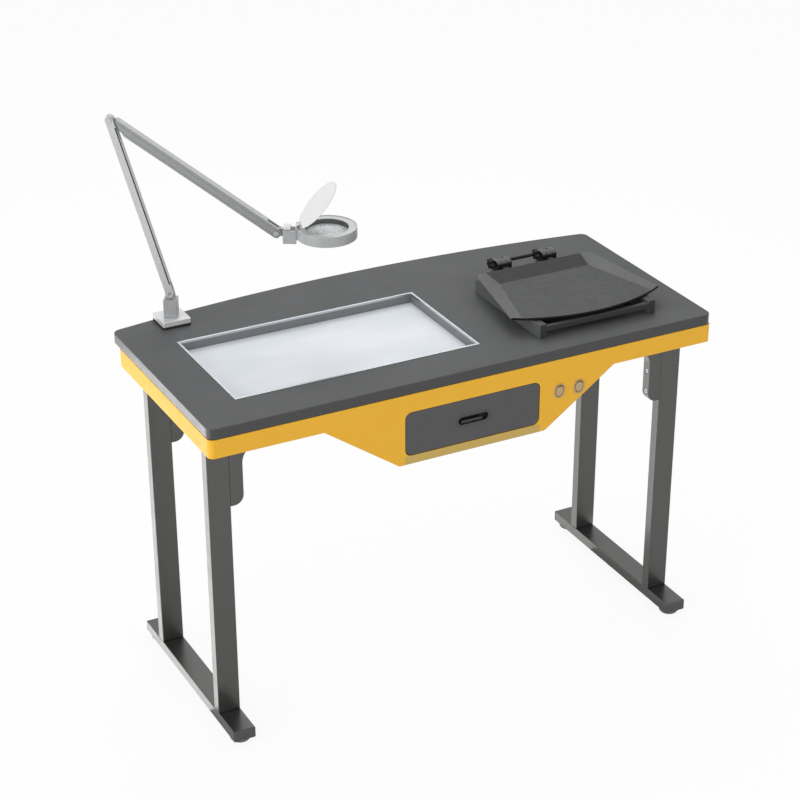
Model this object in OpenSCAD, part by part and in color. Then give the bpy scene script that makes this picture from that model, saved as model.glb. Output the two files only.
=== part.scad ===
// Laboratory inspection bench: light tray, drawer, sample pan and magnifier lamp.
// Bench frame used below: x from the left end, y from the front face, z up from the floor.

/* [Worktop] */
// Height of the worktop's upper face above the floor
top_h = 768; // [700:1:900]
// Width of the worktop
top_w = 1200; // [1160:10:1400]
// Depth of the worktop at its two ends
top_side_d = 531; // [520:1:600]
// How far the back edge bows out at the middle
top_bow = 50.5; // [40:0.5:80]
// Thickness of the worktop
top_t = 25; // [18:1:30]
// Radius of the worktop's corners
top_corner_r = 18; // [8:1:30]

/* [Apron and hump] */
// Height of the yellow apron
apron_h = 41; // [38:1:60]
// Depth of the apron from front to back
apron_d = 488; // [470:1:510]
// Wall of the apron panels
panel_t = 3; // [2:0.5:4]
// Radius of the apron's front corners
apron_corner_r = 13; // [6:1:20]
// Height of the hump below the apron
hump_h = 123; // [112:0.5:140]
// Half of the hump's lower edge
hump_half_w = 173.5; // [168:0.5:190]
// Slope of the hump's two ends, in degrees
hump_slope = 35.2; // [30:0.1:45]
// Depth of the hump's return flange
hump_d = 60; // [40:1:90]
// Bend radius of the hump's lower front edge
hump_bend_r = 5; // [5:1:16]

/* [Light tray] */
// Left edge of the tray's rim from the left end
tray_left = 101; // [85:1:110]
// Front edge of the tray's rim from the front face
tray_front = 100.5; // [90:0.5:110]
// Outer width of the tray's rim
tray_w = 569; // [500:1:575]
// Outer depth of the tray's rim
tray_d = 311.5; // [280:0.5:330]
// Width of the rim's flange
rim_w = 5; // [4:0.5:8]
// Depth from the worktop's face to the diffuser
diffuser_drop = 22; // [12:1:26]

/* [Drawer] */
// Width of the drawer's front
drawer_w = 322; // [300:1:330]
// Height of the drawer's front
drawer_h = 99.6; // [92:0.2:100]
// Thickness of the drawer's front
drawer_front_t = 16; // [14:1:20]
// Corner radius of the drawer's front
drawer_corner_r = 14; // [5:1:20]
// Depth of the drawer's box behind its front
drawer_box_d = 300; // [250:5:340]
// Width of the pull's cup
pull_w = 76; // [60:1:100]
// Height of the pull's cup
pull_h = 22; // [18:1:30]

/* [Switches] */
// First switch to the right of the hump's middle
switch_x = 211; // [200:1:220]
// Distance between the two switches
switch_pitch = 49; // [40:1:50]
// Height of the switches above the hump's lower edge
switch_z = 89.5; // [80:0.5:94]
// Width of a switch bezel
bezel_w = 25.5; // [24:0.5:30]
// Height of a switch bezel
bezel_h = 31; // [30:0.5:36]

/* [Legs] */
// Width of the leg and beam tubes
tube_w = 50; // [40:1:60]
// Depth of the leg tubes and height of the foot beams
tube_t = 25; // [22:1:30]
// Wall of the tubes
tube_wall = 2; // [1.5:0.5:3]
// Distance from the bench's end to a leg
leg_inset = 23; // [15:1:30]
// Front face of the front legs from the front face
leg_front = 79; // [70:1:100]
// Distance between the front faces of the front and back legs
leg_pitch = 321; // [290:1:340]
// Length of the foot beams
beam_l = 500; // [480:1:520]
// Diameter of a levelling foot's disc
foot_d = 46; // [30:1:48]
// Height of a levelling foot below the beam
foot_h = 12; // [10:1:20]
// Diameter of a levelling foot's stem
stem_d = 10; // [8:1:12]
// Width of a bracket beside its leg
bracket_w = 30; // [25:1:35]
// Height of a bracket
bracket_h = 164; // [140:1:180]

/* [Magnifier lamp] */
// Lamp's turning axis from the left end
lamp_x = 132; // [125:1:150]
// Lamp's turning axis in front of the worktop's back corner line
lamp_back = 18; // [17:1:30]
// Direction of the arms, in degrees from the bench's length
lamp_turn = -32; // [-60:1:-10]
// Side of the square base plate
base_w = 65; // [60:1:80]
// Thickness of the base plate
base_t = 12; // [10:1:16]
// Height of the shoulder pin above the worktop
shoulder_h = 70; // [66:1:80]
// Length of the lower arm between pins
lower_l = 405; // [380:1:450]
// Lean of the lower arm away from the lens, in degrees
lower_lean = 15.3; // [5:0.1:20]
// Width of the lower arm
lower_s = 18; // [16:1:18]
// Length of the upper arm between pins
upper_l = 420; // [380:1:450]
// Fall of the upper arm below level, in degrees
upper_fall = 35.1; // [20:0.1:38]
// Width of the upper arm
upper_s = 22; // [18:1:22]
// Diameter of the arm pins
pin_d = 6; // [5:0.5:8]
// Outer radius of the lens ring
ring_r = 65.2; // [60:0.1:75]
// Height of the lens ring
ring_h = 24; // [20:1:30]
// Radius of the lens
lens_r = 47; // [40:1:50]
// Lens centre beyond the head pin
ring_reach = 107; // [105:1:120]
// Opening angle of the lens cover
cover_open = 48; // [20:1:60]
// Turn of the cover's hinge round the lens ring
cover_turn = 12; // [0:1:25]

/* [Sample pan] */
// Middle of the pan from the right end
pan_from_right = 257; // [250:1:270]
// Front of the pan's curved lip from the front face
pan_front = 65; // [55:1:80]
// Radius of the curved lip
lip_r = 400; // [380:5:500]
// Width of the pan's flat floor
pan_floor_w = 290; // [280:1:300]
// Width over the pan's two wings at their front corners
pan_wing_w = 379; // [360:1:380]
// Height of the pan's floor above the worktop
pan_h = 35; // [32:1:45]
// Thickness of the pan's sheet
pan_t = 3; // [2:0.5:4]
// Height of the pan's back wall above its floor
pan_wall_h = 10; // [8:1:14]
// Width of the stand's side rails
rail_w = 17; // [14:1:20]
// Hinge rod from the front face
rod_y = 377; // [370:1:385]
// Diameter of the hinge rod
rod_d = 8; // [6:1:10]
// Diameter of the clamp knobs
knob_d = 24; // [20:1:28]

/* [Hidden] */
$fn = 48;

// Colours
dark = [0.32, 0.32, 0.33];
black = [0.1, 0.1, 0.1];
yellow = [0.88, 0.69, 0.22];
grey = [0.5, 0.5, 0.52];
silver = [0.78, 0.79, 0.8];
white = [0.93, 0.94, 0.95];

// Clearances and small common sizes
run_fit = 0.05;
face_gap = 0.3;
over = 1;

// Heights of the main layers
apron_top = top_h - top_t;
apron_z = apron_top - apron_h;
beam_z = foot_h;
leg_z = beam_z + tube_t;
hump_z = apron_z - hump_h;
mid_x = top_w / 2;
floor_t = 2;

// Arc of the worktop's back edge
back_r = (pow(top_w / 2, 2) + pow(top_bow, 2)) / (2 * top_bow);
back_cy = top_side_d + top_bow - back_r;
corner_cy = back_cy + sqrt(pow(back_r - top_corner_r, 2) - pow(top_w / 2 - top_corner_r, 2));
corner_turn = atan2(corner_cy - back_cy, top_w / 2 - top_corner_r);

// Lamp places in the lamp's own upright plane: x along the arms, z above the worktop
lamp_y = top_side_d - lamp_back;
pad_t = 5;
swivel_gap = face_gap;
block_w = 29;
block_n = 30;
spigot_d = 16;
spigot_l = 9;
block_z = pad_t + base_t + swivel_gap;
block_top = shoulder_h - 12;
tongue_t = 8;
fork_gap = tongue_t + 2 * face_gap;
fork_slot = 48;
tongue_l = 45;
neck_gap = 3;
fork_end = 30;
pin_head_d = 11;
pin_head_t = 2;
elbow = [-lower_l * sin(lower_lean), 0, shoulder_h + lower_l * cos(lower_lean)];
head = elbow + [upper_l * cos(upper_fall), 0, -upper_l * sin(upper_fall)];
ring_top = 16;
ring_centre = head + [ring_reach, 0, ring_top - ring_h];
cover_r = 60;
cover_t = 2.5;
cover_pin_d = 4;
cover_barrel_d = 8;
cover_reach = cover_r + 1;
cover_rise = cover_barrel_d / 2 + 0.5;
ear_t = 5;
ear_in = 4 + face_gap;

// Rocker switches
bezel_t = 2.5;
rocker_w = bezel_w - 7.5;
rocker_r = bezel_h / 2 - 3.5;
rocker_y = 4;
rocker_face = 6;
rocker_dish = 10;
rocker_rest = 10;
rocker_tip = rocker_dish + asin(rocker_face * cos(rocker_dish) / rocker_r);
cap_t = 2;

// The origin is under the middle of the whole bench
elbow_pin_half = lower_s / 2 + pin_head_t;
elbow_back = lamp_y + elbow[0] * sin(lamp_turn) + elbow_pin_half * cos(lamp_turn)
    + pin_head_d / 2 * abs(sin(lamp_turn));
arm_back = lamp_y + elbow[0] * sin(lamp_turn)
    + lower_s / 2 * (cos(lamp_turn) + abs(sin(lamp_turn)));
back_out = max(top_side_d + top_bow, elbow_back, arm_back);
front_out = max(rocker_r * sin(rocker_tip + rocker_rest) - rocker_y, bezel_t, cap_t);

module bench() translate([-top_w / 2, (front_out - back_out) / 2, 0]) children();
module lamp() bench() translate([lamp_x, lamp_y, top_h]) rotate([0, 0, lamp_turn]) children();
module mirror_x(x) {
    children();
    translate([2 * x, 0, 0]) mirror([1, 0, 0]) children();
}

// Round bar along x or y
module bar_x(d, l) rotate([0, 90, 0]) cylinder(d = d, h = l);
module bar_y(d, l) rotate([-90, 0, 0]) cylinder(d = d, h = l);
// Round bar along y, centred on its own place
module pin_y(d, l) rotate([90, 0, 0]) cylinder(d = d, h = l, center = true);

module round_rect(w, d, r) {
    translate([r, 0]) square([w - 2 * r, d]);
    translate([0, r]) square([w, d - 2 * r]);
    for (x = [r, w - r], y = [r, d - r]) translate([x, y]) circle(r = r);
}
// A flat shape drawn in x and z, and given its thickness along y
module upright(t) translate([0, t, 0]) rotate([90, 0, 0]) linear_extrude(t) children();

// Worktop
rim_lap = 3;

// Points of an arc round a centre, from one angle to another
function arc(x, y, r, from, to, steps) = [for (i = [0:steps])
    let (turn = from + (to - from) * i / steps) [x + r * cos(turn), y + r * sin(turn)]];
corner_steps = 12;
back_steps = 72;
near = top_corner_r;
far = top_w - top_corner_r;
module worktop_plan() polygon(concat(
    arc(near, top_corner_r, top_corner_r, 180, 270, corner_steps),
    arc(far, top_corner_r, top_corner_r, 270, 360, corner_steps),
    arc(far, corner_cy, top_corner_r, 0, corner_turn, corner_steps),
    arc(top_w / 2, back_cy, back_r, corner_turn + 0.1, 179.9 - corner_turn, back_steps),
    arc(near, corner_cy, top_corner_r, 180 - corner_turn, 180, corner_steps)));
module tray_hole(grow) translate([tray_left + rim_lap - grow, tray_front + rim_lap - grow])
    square([tray_w - 2 * rim_lap + 2 * grow, tray_d - 2 * rim_lap + 2 * grow]);

lamp_bolt_d = 6;
lamp_bolt_off = 17;
lamp_bolt_head = 4;
module at_lamp_bolts() for (x = [-1, 1], y = [-1, 1])
    translate([lamp_x + x * lamp_bolt_off, lamp_y + y * lamp_bolt_off, 0]) children();

module worktop() color(dark) bench() difference() {
    translate([0, 0, apron_top]) linear_extrude(top_t) worktop_plan();
    translate([0, 0, apron_top - over]) linear_extrude(top_t + 2 * over) tray_hole(0);
    at_lamp_bolts() translate([0, 0, apron_top - over])
        cylinder(d = lamp_bolt_d + 2 * run_fit, h = top_t + 2 * over);
}

// Front panel: band and hump in one pressing, with its ends bent back round the corners
wrap = 26;
hump_fillet = 45;
hump_corner_r = 12;
door_gap = 1.5;
drawer_top_gap = 0.9;
drawer_z = apron_z - drawer_top_gap - drawer_h;
slope_run = hump_h / tan(hump_slope);
switch_body_gap = 0.25;
body_w = bezel_w - 4;
body_h = bezel_h - 3.5;
body_r = 4;
bezel_r = 9;

module hump_shape(inset) {
    bottom = hump_z + inset;
    half = hump_half_w + inset / tan(hump_slope) - inset / sin(hump_slope);
    rise = apron_z + 1 - bottom;
    polygon([[mid_x - half, bottom], [mid_x + half, bottom],
        [mid_x + half + rise / tan(hump_slope), apron_z + 1],
        [mid_x - half - rise / tan(hump_slope), apron_z + 1]]);
}
// Corner cut that leaves the hump's lower corners round
module hump_corners() mirror_x(mid_x) {
    turn = hump_slope / 2;
    reach = hump_corner_r * tan(turn);
    translate([mid_x + hump_half_w, hump_z]) difference() {
        polygon([[-reach, -over], [over * 2, -over],
            [reach * cos(hump_slope) + over, reach * sin(hump_slope) - over],
            [reach * cos(hump_slope), reach * sin(hump_slope)]]);
        translate([-reach, hump_corner_r]) circle(r = hump_corner_r);
    }
}
// Fillet where the hump's slopes run into the band
module hump_fillets() mirror_x(mid_x) {
    reach = hump_fillet * tan(hump_slope / 2);
    translate([mid_x + hump_half_w + slope_run, apron_z]) difference() {
        polygon([[0, 0], [reach, 0], [reach, over], [-reach, over],
            [-reach * cos(hump_slope), -reach * sin(hump_slope)]]);
        translate([reach, -hump_fillet]) circle(r = hump_fillet);
    }
}
// Prism that rounds a lower front edge which lies along x
module bend_cut(r, y, z) translate([0, y, z]) difference() {
    translate([0, -over, -over]) cube([top_w, r + over, r + over]);
    translate([-over, r, r]) bar_x(2 * r, top_w + 2 * over);
}
module hump_solid(inset, depth) difference() {
    translate([0, inset, 0]) upright(depth) hump_shape(inset);
    bend_cut(hump_bend_r - inset, inset, hump_z + inset);
}
module panel_wrap(inset) translate([inset, inset, apron_z])
    linear_extrude(apron_h) difference() {
        round_rect(top_w - 2 * inset, apron_d, apron_corner_r - inset);
        translate([-over, wrap - inset]) square([top_w + over, apron_d]);
    }
module at_switches() for (i = [0, 1])
    translate([mid_x + switch_x + i * switch_pitch, 0, hump_z + switch_z]) children();

module front_panel() color(yellow) bench() difference() {
    union() {
        difference() {
            panel_wrap(0);
            translate([panel_t, panel_t, apron_z - over])
                linear_extrude(apron_h + 2 * over)
                round_rect(top_w - 2 * panel_t, apron_d, apron_corner_r - panel_t);
        }
        difference() {
            hump_solid(0, hump_d);
            hump_solid(panel_t, hump_d);
            upright(hump_d) hump_corners();
            translate([0, -over, apron_z]) cube([top_w, hump_d + 2 * over, 2 * over]);
        }
        upright(panel_t) hump_fillets();
    }
    translate([mid_x - drawer_w / 2 - door_gap, -over, drawer_z - door_gap])
        upright(panel_t + 2 * over)
        round_rect(drawer_w + 2 * door_gap, apron_z - drawer_z + door_gap,
            drawer_corner_r + door_gap);
    at_switches() translate([-body_w / 2 - switch_body_gap, -over,
        -body_h / 2 - switch_body_gap])
        upright(panel_t + 2 * over)
        round_rect(body_w + 2 * switch_body_gap, body_h + 2 * switch_body_gap,
            body_r + switch_body_gap);
}

module side_panels() color(yellow) bench() mirror_x(mid_x)
    translate([0, wrap, apron_z]) cube([panel_t, apron_d - wrap, apron_h]);

inlet_x = 150;
inlet_w = 27;
inlet_h = 20;
inlet_gap = 0.5;
inlet_flange = 6;
inlet_t = 3;
inlet_deep = 22;
inlet_well = 14;
inlet_wall = 2;
inlet_z = apron_z + apron_h / 2;
module rear_panel() color(yellow) bench() difference() {
    translate([panel_t, apron_d - panel_t, apron_z])
        cube([top_w - 2 * panel_t, panel_t, apron_h]);
    translate([inlet_x - inlet_w / 2, apron_d - panel_t - over, inlet_z - inlet_h / 2])
        cube([inlet_w, panel_t + 2 * over, inlet_h]);
}

module floor_pan() color(grey) bench() translate([0, 0, apron_z]) linear_extrude(floor_t)
    difference() {
        translate([panel_t, panel_t])
            round_rect(top_w - 2 * panel_t, apron_d - 2 * panel_t, apron_corner_r - panel_t);
        translate([panel_t - over, apron_d - panel_t - over]) square([1, 1]);
    }

module cross_rails() color(grey) bench() mirror_x(mid_x)
    translate([leg_inset, leg_front - tube_t, apron_z + floor_t]) difference() {
        cube([tube_w, leg_pitch + 3 * tube_t, apron_h - floor_t]);
        translate([tube_wall, -over, tube_wall])
            cube([tube_w - 2 * tube_wall, leg_pitch + 3 * tube_t + 2 * over,
                apron_h - floor_t - 2 * tube_wall]);
    }

// Drawer housing and runners
sheet = 1.5;
runner_t = 10;
runner_h = 36;
box_w = drawer_w - 32;
housing_half = drawer_w / 2 - 2;
housing_z = hump_z + panel_t + 1;
housing_y = drawer_front_t + door_gap;
housing_d = drawer_box_d + 50;
runner_z = drawer_z + 28;
box_z = drawer_z + 6;
box_h = 80;

module drawer_housing() color(grey) bench() difference() {
    translate([mid_x - housing_half, housing_y, housing_z])
        cube([2 * housing_half, housing_d, apron_z - housing_z]);
    translate([mid_x - housing_half + sheet, housing_y - over, housing_z + sheet])
        cube([2 * (housing_half - sheet), housing_d + over - sheet, apron_z]);
}
runner_fixed_t = housing_half - sheet - box_w / 2 - runner_t / 2 - face_gap;
module runners_fixed() color(silver) bench() mirror_x(mid_x)
    translate([mid_x + housing_half - sheet - runner_fixed_t, drawer_front_t + 10, runner_z])
    difference() {
        cube([runner_fixed_t, drawer_box_d, runner_h]);
        translate([-over, -over, runner_h / 4])
            cube([runner_fixed_t - sheet + over, drawer_box_d + 2 * over, runner_h / 2]);
    }
module runners_moving() color(silver) bench() mirror_x(mid_x)
    translate([mid_x + box_w / 2, drawer_front_t + 10, runner_z]) {
        cube([runner_t / 2, drawer_box_d - 12, runner_h]);
        translate([0, 0, runner_h / 4 + face_gap])
            cube([runner_t / 2 + runner_fixed_t - sheet - face_gap, drawer_box_d - 12,
                runner_h / 2 - 2 * face_gap]);
    }

// Drawer
pull_z = drawer_z + drawer_h / 2 + 1;
pull_deep = 12;
pull_lip = 2;
module stadium(w, h) {
    square([w - h, h], center = true);
    for (x = [-1, 1]) translate([x * (w - h) / 2, 0]) circle(d = h);
}
module drawer_front() color(dark) bench() difference() {
    translate([mid_x - drawer_w / 2, 0, drawer_z]) upright(drawer_front_t)
        round_rect(drawer_w, drawer_h, drawer_corner_r);
    translate([mid_x, -over, pull_z]) upright(pull_deep + over)
        stadium(pull_w, pull_h);
}
module drawer_pull() color(black) bench() translate([mid_x, 0, pull_z]) difference() {
    upright(pull_deep) stadium(pull_w, pull_h);
    translate([0, -over, 0]) upright(pull_deep + over - pull_lip)
        stadium(pull_w - 2 * pull_lip, pull_h - 2 * pull_lip);
}
module drawer_box() color(grey) bench()
    translate([mid_x - box_w / 2, drawer_front_t, box_z]) difference() {
        cube([box_w, drawer_box_d, box_h]);
        translate([sheet, sheet, sheet])
            cube([box_w - 2 * sheet, drawer_box_d - 2 * sheet, box_h]);
    }

// Light tray
rim_t = 1.2;
rim_leg = 4;
box_floor = apron_z + floor_t + 1;
pan_inset = rim_w;
ledge_w = 8;
diffuser_t = 4;
diffuser_top = top_h - diffuser_drop;

module tray_box(inset, z0, z1) translate([tray_left + inset, tray_front + inset, z0])
    cube([tray_w - 2 * inset, tray_d - 2 * inset, z1 - z0]);
module tray_rim() color(silver) bench() difference() {
    union() {
        tray_box(0, top_h, top_h + rim_t);
        tray_box(rim_lap, top_h - rim_leg, top_h + rim_t);
    }
    tray_box(rim_w, top_h - rim_leg - over, top_h + rim_t + over);
}
module lightbox_pan() color(grey) bench() difference() {
    tray_box(rim_lap, box_floor, top_h - rim_leg);
    tray_box(pan_inset, diffuser_top - diffuser_t, top_h);
    tray_box(pan_inset + ledge_w, box_floor + sheet, top_h);
    difference() {
        tray_box(pan_inset, box_floor + sheet, top_h);
        tray_box(pan_inset - over, diffuser_top - diffuser_t - sheet, top_h + over);
    }
}
module diffuser() color(white) bench()
    tray_box(pan_inset + face_gap, diffuser_top - diffuser_t, diffuser_top);

strips = 5;
strip_w = 10;
strip_t = 1.6;
strip_end = 25;
chip = 5;
chip_t = 1.4;
chip_pitch = 50;
chip_start = 15;
module led_strips() color(white) bench() for (i = [0:strips - 1]) {
    y = tray_front + tray_d * (i + 0.5) / strips;
    strip_l = tray_w - 2 * strip_end;
    translate([tray_left + strip_end, y - strip_w / 2, box_floor + sheet]) {
        cube([strip_l, strip_w, strip_t]);
        for (x = [chip_start:chip_pitch:strip_l - chip_start])
            translate([x, strip_w / 2 - chip / 2, strip_t]) cube([chip, chip, chip_t]);
    }
}
driver_w = 150;
driver_d = 52;
driver_h = 26;
driver_gap = 60;
module led_driver() color(silver) bench()
    translate([tray_left + tray_w + driver_gap, apron_d - driver_gap - driver_d,
        apron_z + floor_t])
    cube([driver_w, driver_d, driver_h]);

module inlet_block(grow, y0, y1)
    translate([-inlet_w / 2 - grow, y0, -inlet_h / 2 - min(grow, inlet_t)])
    cube([inlet_w + 2 * grow, y1 - y0, inlet_h + 2 * min(grow, inlet_t)]);
module mains_inlet() color(black) bench() translate([inlet_x, apron_d, inlet_z]) difference() {
    union() {
        inlet_block(inlet_flange, 0, inlet_t);
        inlet_block(-inlet_gap, -inlet_deep, over);
    }
    inlet_block(-inlet_wall, -inlet_well, inlet_t + over);
}

// Rocker switches in their wells
well_w = rocker_w + 2 * face_gap;
well_h = 2 * (rocker_r + face_gap);
switch_deep = 24;

module switch_bezels() color(black) bench() at_switches()
    translate([0, -bezel_t, 0]) difference() {
        translate([-bezel_w / 2, 0, -bezel_h / 2]) upright(bezel_t)
            round_rect(bezel_w, bezel_h, bezel_r);
        translate([-well_w / 2, -over, -well_h / 2])
            cube([well_w, bezel_t + 2 * over, well_h]);
    }
module switch_bodies() color(black) bench() at_switches() difference() {
    union() {
        translate([-body_w / 2, 0, -body_h / 2]) upright(switch_deep)
            round_rect(body_w, body_h, body_r);
        for (z = [-6, 6]) translate([-3, switch_deep - over, z - 0.5])
            cube([6, 8 + over, 1]);
    }
    translate([-well_w / 2, -over, -well_h / 2])
        cube([well_w, rocker_y + rocker_r + face_gap + over, well_h]);
}
module rocker() translate([0, rocker_y, 0]) rotate([rocker_rest, 0, 0]) difference() {
    translate([-rocker_w / 2, 0, 0]) bar_x(2 * rocker_r, rocker_w);
    for (s = [0, 1]) mirror([0, 0, s]) translate([-bezel_w, -rocker_face, 0])
        rotate([rocker_dish, 0, 0]) translate([0, -2 * rocker_r, -over])
        cube([2 * bezel_w, 2 * rocker_r, 3 * rocker_r]);
    translate([-bezel_w, 5, -2 * rocker_r]) cube([2 * bezel_w, 2 * rocker_r, 4 * rocker_r]);
}
module rocker_left() color(silver) bench()
    translate([mid_x + switch_x, 0, hump_z + switch_z]) rocker();
module rocker_right() color(silver) bench()
    translate([mid_x + switch_x + switch_pitch, 0, hump_z + switch_z]) rocker();

// Legs and beams
right_leg = top_w - leg_inset - tube_w;
back_leg = leg_front + leg_pitch;
module leg(x, y) translate([x, y, leg_z]) difference() {
    cube([tube_w, tube_t, apron_z - leg_z]);
    translate([tube_wall, tube_wall, -over])
        cube([tube_w - 2 * tube_wall, tube_t - 2 * tube_wall, apron_z - leg_z - tube_wall + over]);
}
module leg_front_left() color(dark) bench() leg(leg_inset, leg_front);
module leg_back_left() color(dark) bench() leg(leg_inset, back_leg);
module leg_front_right() color(dark) bench() leg(right_leg, leg_front);
module leg_back_right() color(dark) bench() leg(right_leg, back_leg);

foot_end = 24.5;
nut_d = 18;
nut_l = 12;
module at_feet(x) for (y = [foot_end, beam_l - foot_end])
    translate([x + tube_w / 2, y, 0]) children();
module foot_beam(x) difference() {
    translate([x, 0, beam_z]) cube([tube_w, beam_l, tube_t]);
    translate([x + tube_wall, -over, beam_z + tube_wall])
        cube([tube_w - 2 * tube_wall, beam_l + 2 * over, tube_t - 2 * tube_wall]);
    at_feet(x) translate([0, 0, beam_z - over]) cylinder(d = nut_d, h = tube_wall + 2 * over);
}
module foot_beam_left() color(dark) bench() foot_beam(leg_inset);
module foot_beam_right() color(dark) bench() foot_beam(right_leg);

cap_plug = 8;
module beam_cap() {
    cube([tube_w, cap_t, tube_t]);
    translate([tube_wall, cap_t, tube_wall])
        cube([tube_w - 2 * tube_wall, cap_plug, tube_t - 2 * tube_wall]);
}
module beam_caps() color(black) bench() for (x = [leg_inset, right_leg]) {
    translate([x, -cap_t, beam_z]) beam_cap();
    translate([x, beam_l + cap_t, beam_z]) mirror([0, 1, 0]) beam_cap();
}

stem_top = tube_t - tube_wall - 2;
disc_t = foot_h - 4;
module foot_nuts() color(silver) bench() for (x = [leg_inset, right_leg])
    at_feet(x) translate([0, 0, beam_z]) difference() {
        cylinder(d = nut_d, h = nut_l);
        translate([0, 0, -over]) cylinder(d = stem_d + 2 * run_fit, h = nut_l + 2 * over);
    }
module foot(x, y) translate([x + tube_w / 2, y, 0]) {
    cylinder(d = foot_d, h = disc_t);
    cylinder(d = nut_d, h = foot_h - face_gap);
    cylinder(d = stem_d, h = foot_h + stem_top);
}
module foot_front_left() color(black) bench() foot(leg_inset, foot_end);
module foot_back_left() color(black) bench() foot(leg_inset, beam_l - foot_end);
module foot_front_right() color(black) bench() foot(right_leg, foot_end);
module foot_back_right() color(black) bench() foot(right_leg, beam_l - foot_end);

// Brackets: a strip beside the leg that flares out to a tab under the apron
bracket_foot_r = 22;
flare_r = 40;
tab_h = 30;
bolt_d = 6;
bolt_head_d = 10;
bolt_head_t = 6;
bolt_zs = [24, 74];
module bracket_shape() {
    square([bracket_w - bracket_foot_r, bracket_h]);
    translate([0, bracket_foot_r]) square([bracket_w, bracket_h - bracket_foot_r]);
    intersection() {
        translate([bracket_w - bracket_foot_r, bracket_foot_r]) circle(r = bracket_foot_r);
        square([bracket_w, bracket_h]);
    }
    difference() {
        translate([0, bracket_h - tab_h - flare_r])
            square([bracket_w + flare_r, tab_h + flare_r]);
        translate([bracket_w + flare_r, bracket_h - tab_h - flare_r]) circle(r = flare_r);
    }
}
module at_bracket_bolts() for (y = [leg_front, back_leg], z = bolt_zs)
    translate([leg_inset + tube_w, y + tube_t / 2, apron_z - bracket_h + z]) children();
module brackets() difference() {
    for (y = [leg_front, back_leg])
        translate([leg_inset + tube_w, y, apron_z - bracket_h]) upright(tube_t) bracket_shape();
    at_bracket_bolts() {
        translate([-over, 0, 0]) bar_x(bolt_d, bracket_w + 2 * over);
        translate([bracket_w - bolt_head_t, 0, 0]) bar_x(bolt_head_d + 1, 2 * bolt_head_t);
    }
}
module brackets_left() color(dark) bench() brackets();
module brackets_right() color(dark) bench() translate([top_w, 0, 0]) mirror([1, 0, 0]) brackets();
module bracket_bolts() color(grey) bench() mirror_x(mid_x) at_bracket_bolts() {
    bar_x(bolt_d, bracket_w - bolt_head_t);
    translate([bracket_w - bolt_head_t, 0, 0]) difference() {
        bar_x(bolt_head_d, bolt_head_t - 1);
        translate([bolt_head_t - 4, 0, 0]) rotate([0, 90, 0])
            cylinder(d = bolt_head_d / 2, h = bolt_head_t, $fn = 6);
    }
}

// Magnifier lamp
module lamp_pad() color(black) bench() translate([0, 0, top_h]) difference() {
    translate([lamp_x - base_w / 2, lamp_y - base_w / 2]) linear_extrude(pad_t)
        round_rect(base_w, base_w, 4);
    at_lamp_bolts() translate([0, 0, -over])
        cylinder(d = lamp_bolt_d + 2 * run_fit, h = pad_t + 2 * over);
}
module lamp_base() color(silver) bench() translate([0, 0, top_h + pad_t]) difference() {
    translate([lamp_x - base_w / 2, lamp_y - base_w / 2]) linear_extrude(base_t)
        round_rect(base_w, base_w, 4);
    at_lamp_bolts() translate([0, 0, -over]) cylinder(d = lamp_bolt_d, h = base_t - 3 + over);
    translate([lamp_x, lamp_y, base_t - spigot_l - face_gap])
        cylinder(d = spigot_d + 2 * run_fit, h = base_t);
}
module lamp_bolts() color(grey) bench() at_lamp_bolts() {
    translate([0, 0, apron_top]) cylinder(d = lamp_bolt_d, h = top_t + pad_t + base_t - 4);
    translate([0, 0, apron_top - lamp_bolt_head])
        cylinder(d = lamp_bolt_d * 1.7, h = lamp_bolt_head, $fn = 6);
}
// Flat tongue round a pin hole, thin along y
module tongue(length, width) difference() {
    union() {
        pin_y(width, tongue_t);
        translate([-width / 2, -tongue_t / 2, 0]) cube([width, tongue_t, length]);
    }
    pin_y(pin_d + 2 * run_fit, tongue_t + 2 * over);
}
// Slot for a tongue, cut from the end of an arm which lies along z
module fork_cut(length, width) translate([-width, -fork_gap / 2, -width])
    cube([2 * width, fork_gap, length + width]);

module lamp_swivel() color(grey) lamp() {
    translate([-block_w / 2, -block_n / 2, block_z])
        cube([block_w, block_n, block_top - block_z]);
    translate([0, 0, block_z - spigot_l - swivel_gap])
        cylinder(d = spigot_d, h = spigot_l + swivel_gap + over);
    translate([0, 0, shoulder_h]) mirror([0, 0, 1]) difference() {
        union() {
            pin_y(lower_s, tongue_t);
            translate([-11, -tongue_t / 2, 0]) cube([22, tongue_t, shoulder_h - block_top + over]);
        }
        pin_y(pin_d, tongue_t + 2 * over);
    }
}
// Pin with a flat head at both ends
module arm_pin(width) {
    pin_y(pin_d, width);
    for (s = [0, 1]) mirror([0, s, 0]) translate([0, width / 2, 0])
        bar_y(pin_head_d, pin_head_t);
}
module shoulder_pin() color(silver) lamp() translate([0, 0, shoulder_h])
    pin_y(pin_d, lower_s);

// Arm with round ends, from the pin at its foot to the pin at its head
module arm_bar(length, width) {
    pin_y(width, width);
    translate([0, 0, length]) pin_y(width, width);
    translate([-width / 2, -width / 2, 0]) cube([width, width, length]);
}
module lower_place() lamp() translate([0, 0, shoulder_h]) rotate([0, -lower_lean, 0])
    children();
module upper_place() lamp() translate(elbow) rotate([0, 90 + upper_fall, 0]) children();

module lower_arm() color(silver) lower_place() difference() {
    arm_bar(lower_l, lower_s);
    fork_cut(lower_s + 6, lower_s);
    translate([0, 0, lower_l]) mirror([0, 0, 1]) fork_cut(fork_slot, lower_s);
    pin_y(pin_d + 2 * run_fit, lower_s + 2 * over);
    translate([0, 0, lower_l]) pin_y(pin_d, lower_s + 2 * over);
}
module elbow_pin() color(silver) lamp() translate(elbow) arm_pin(lower_s);
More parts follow.
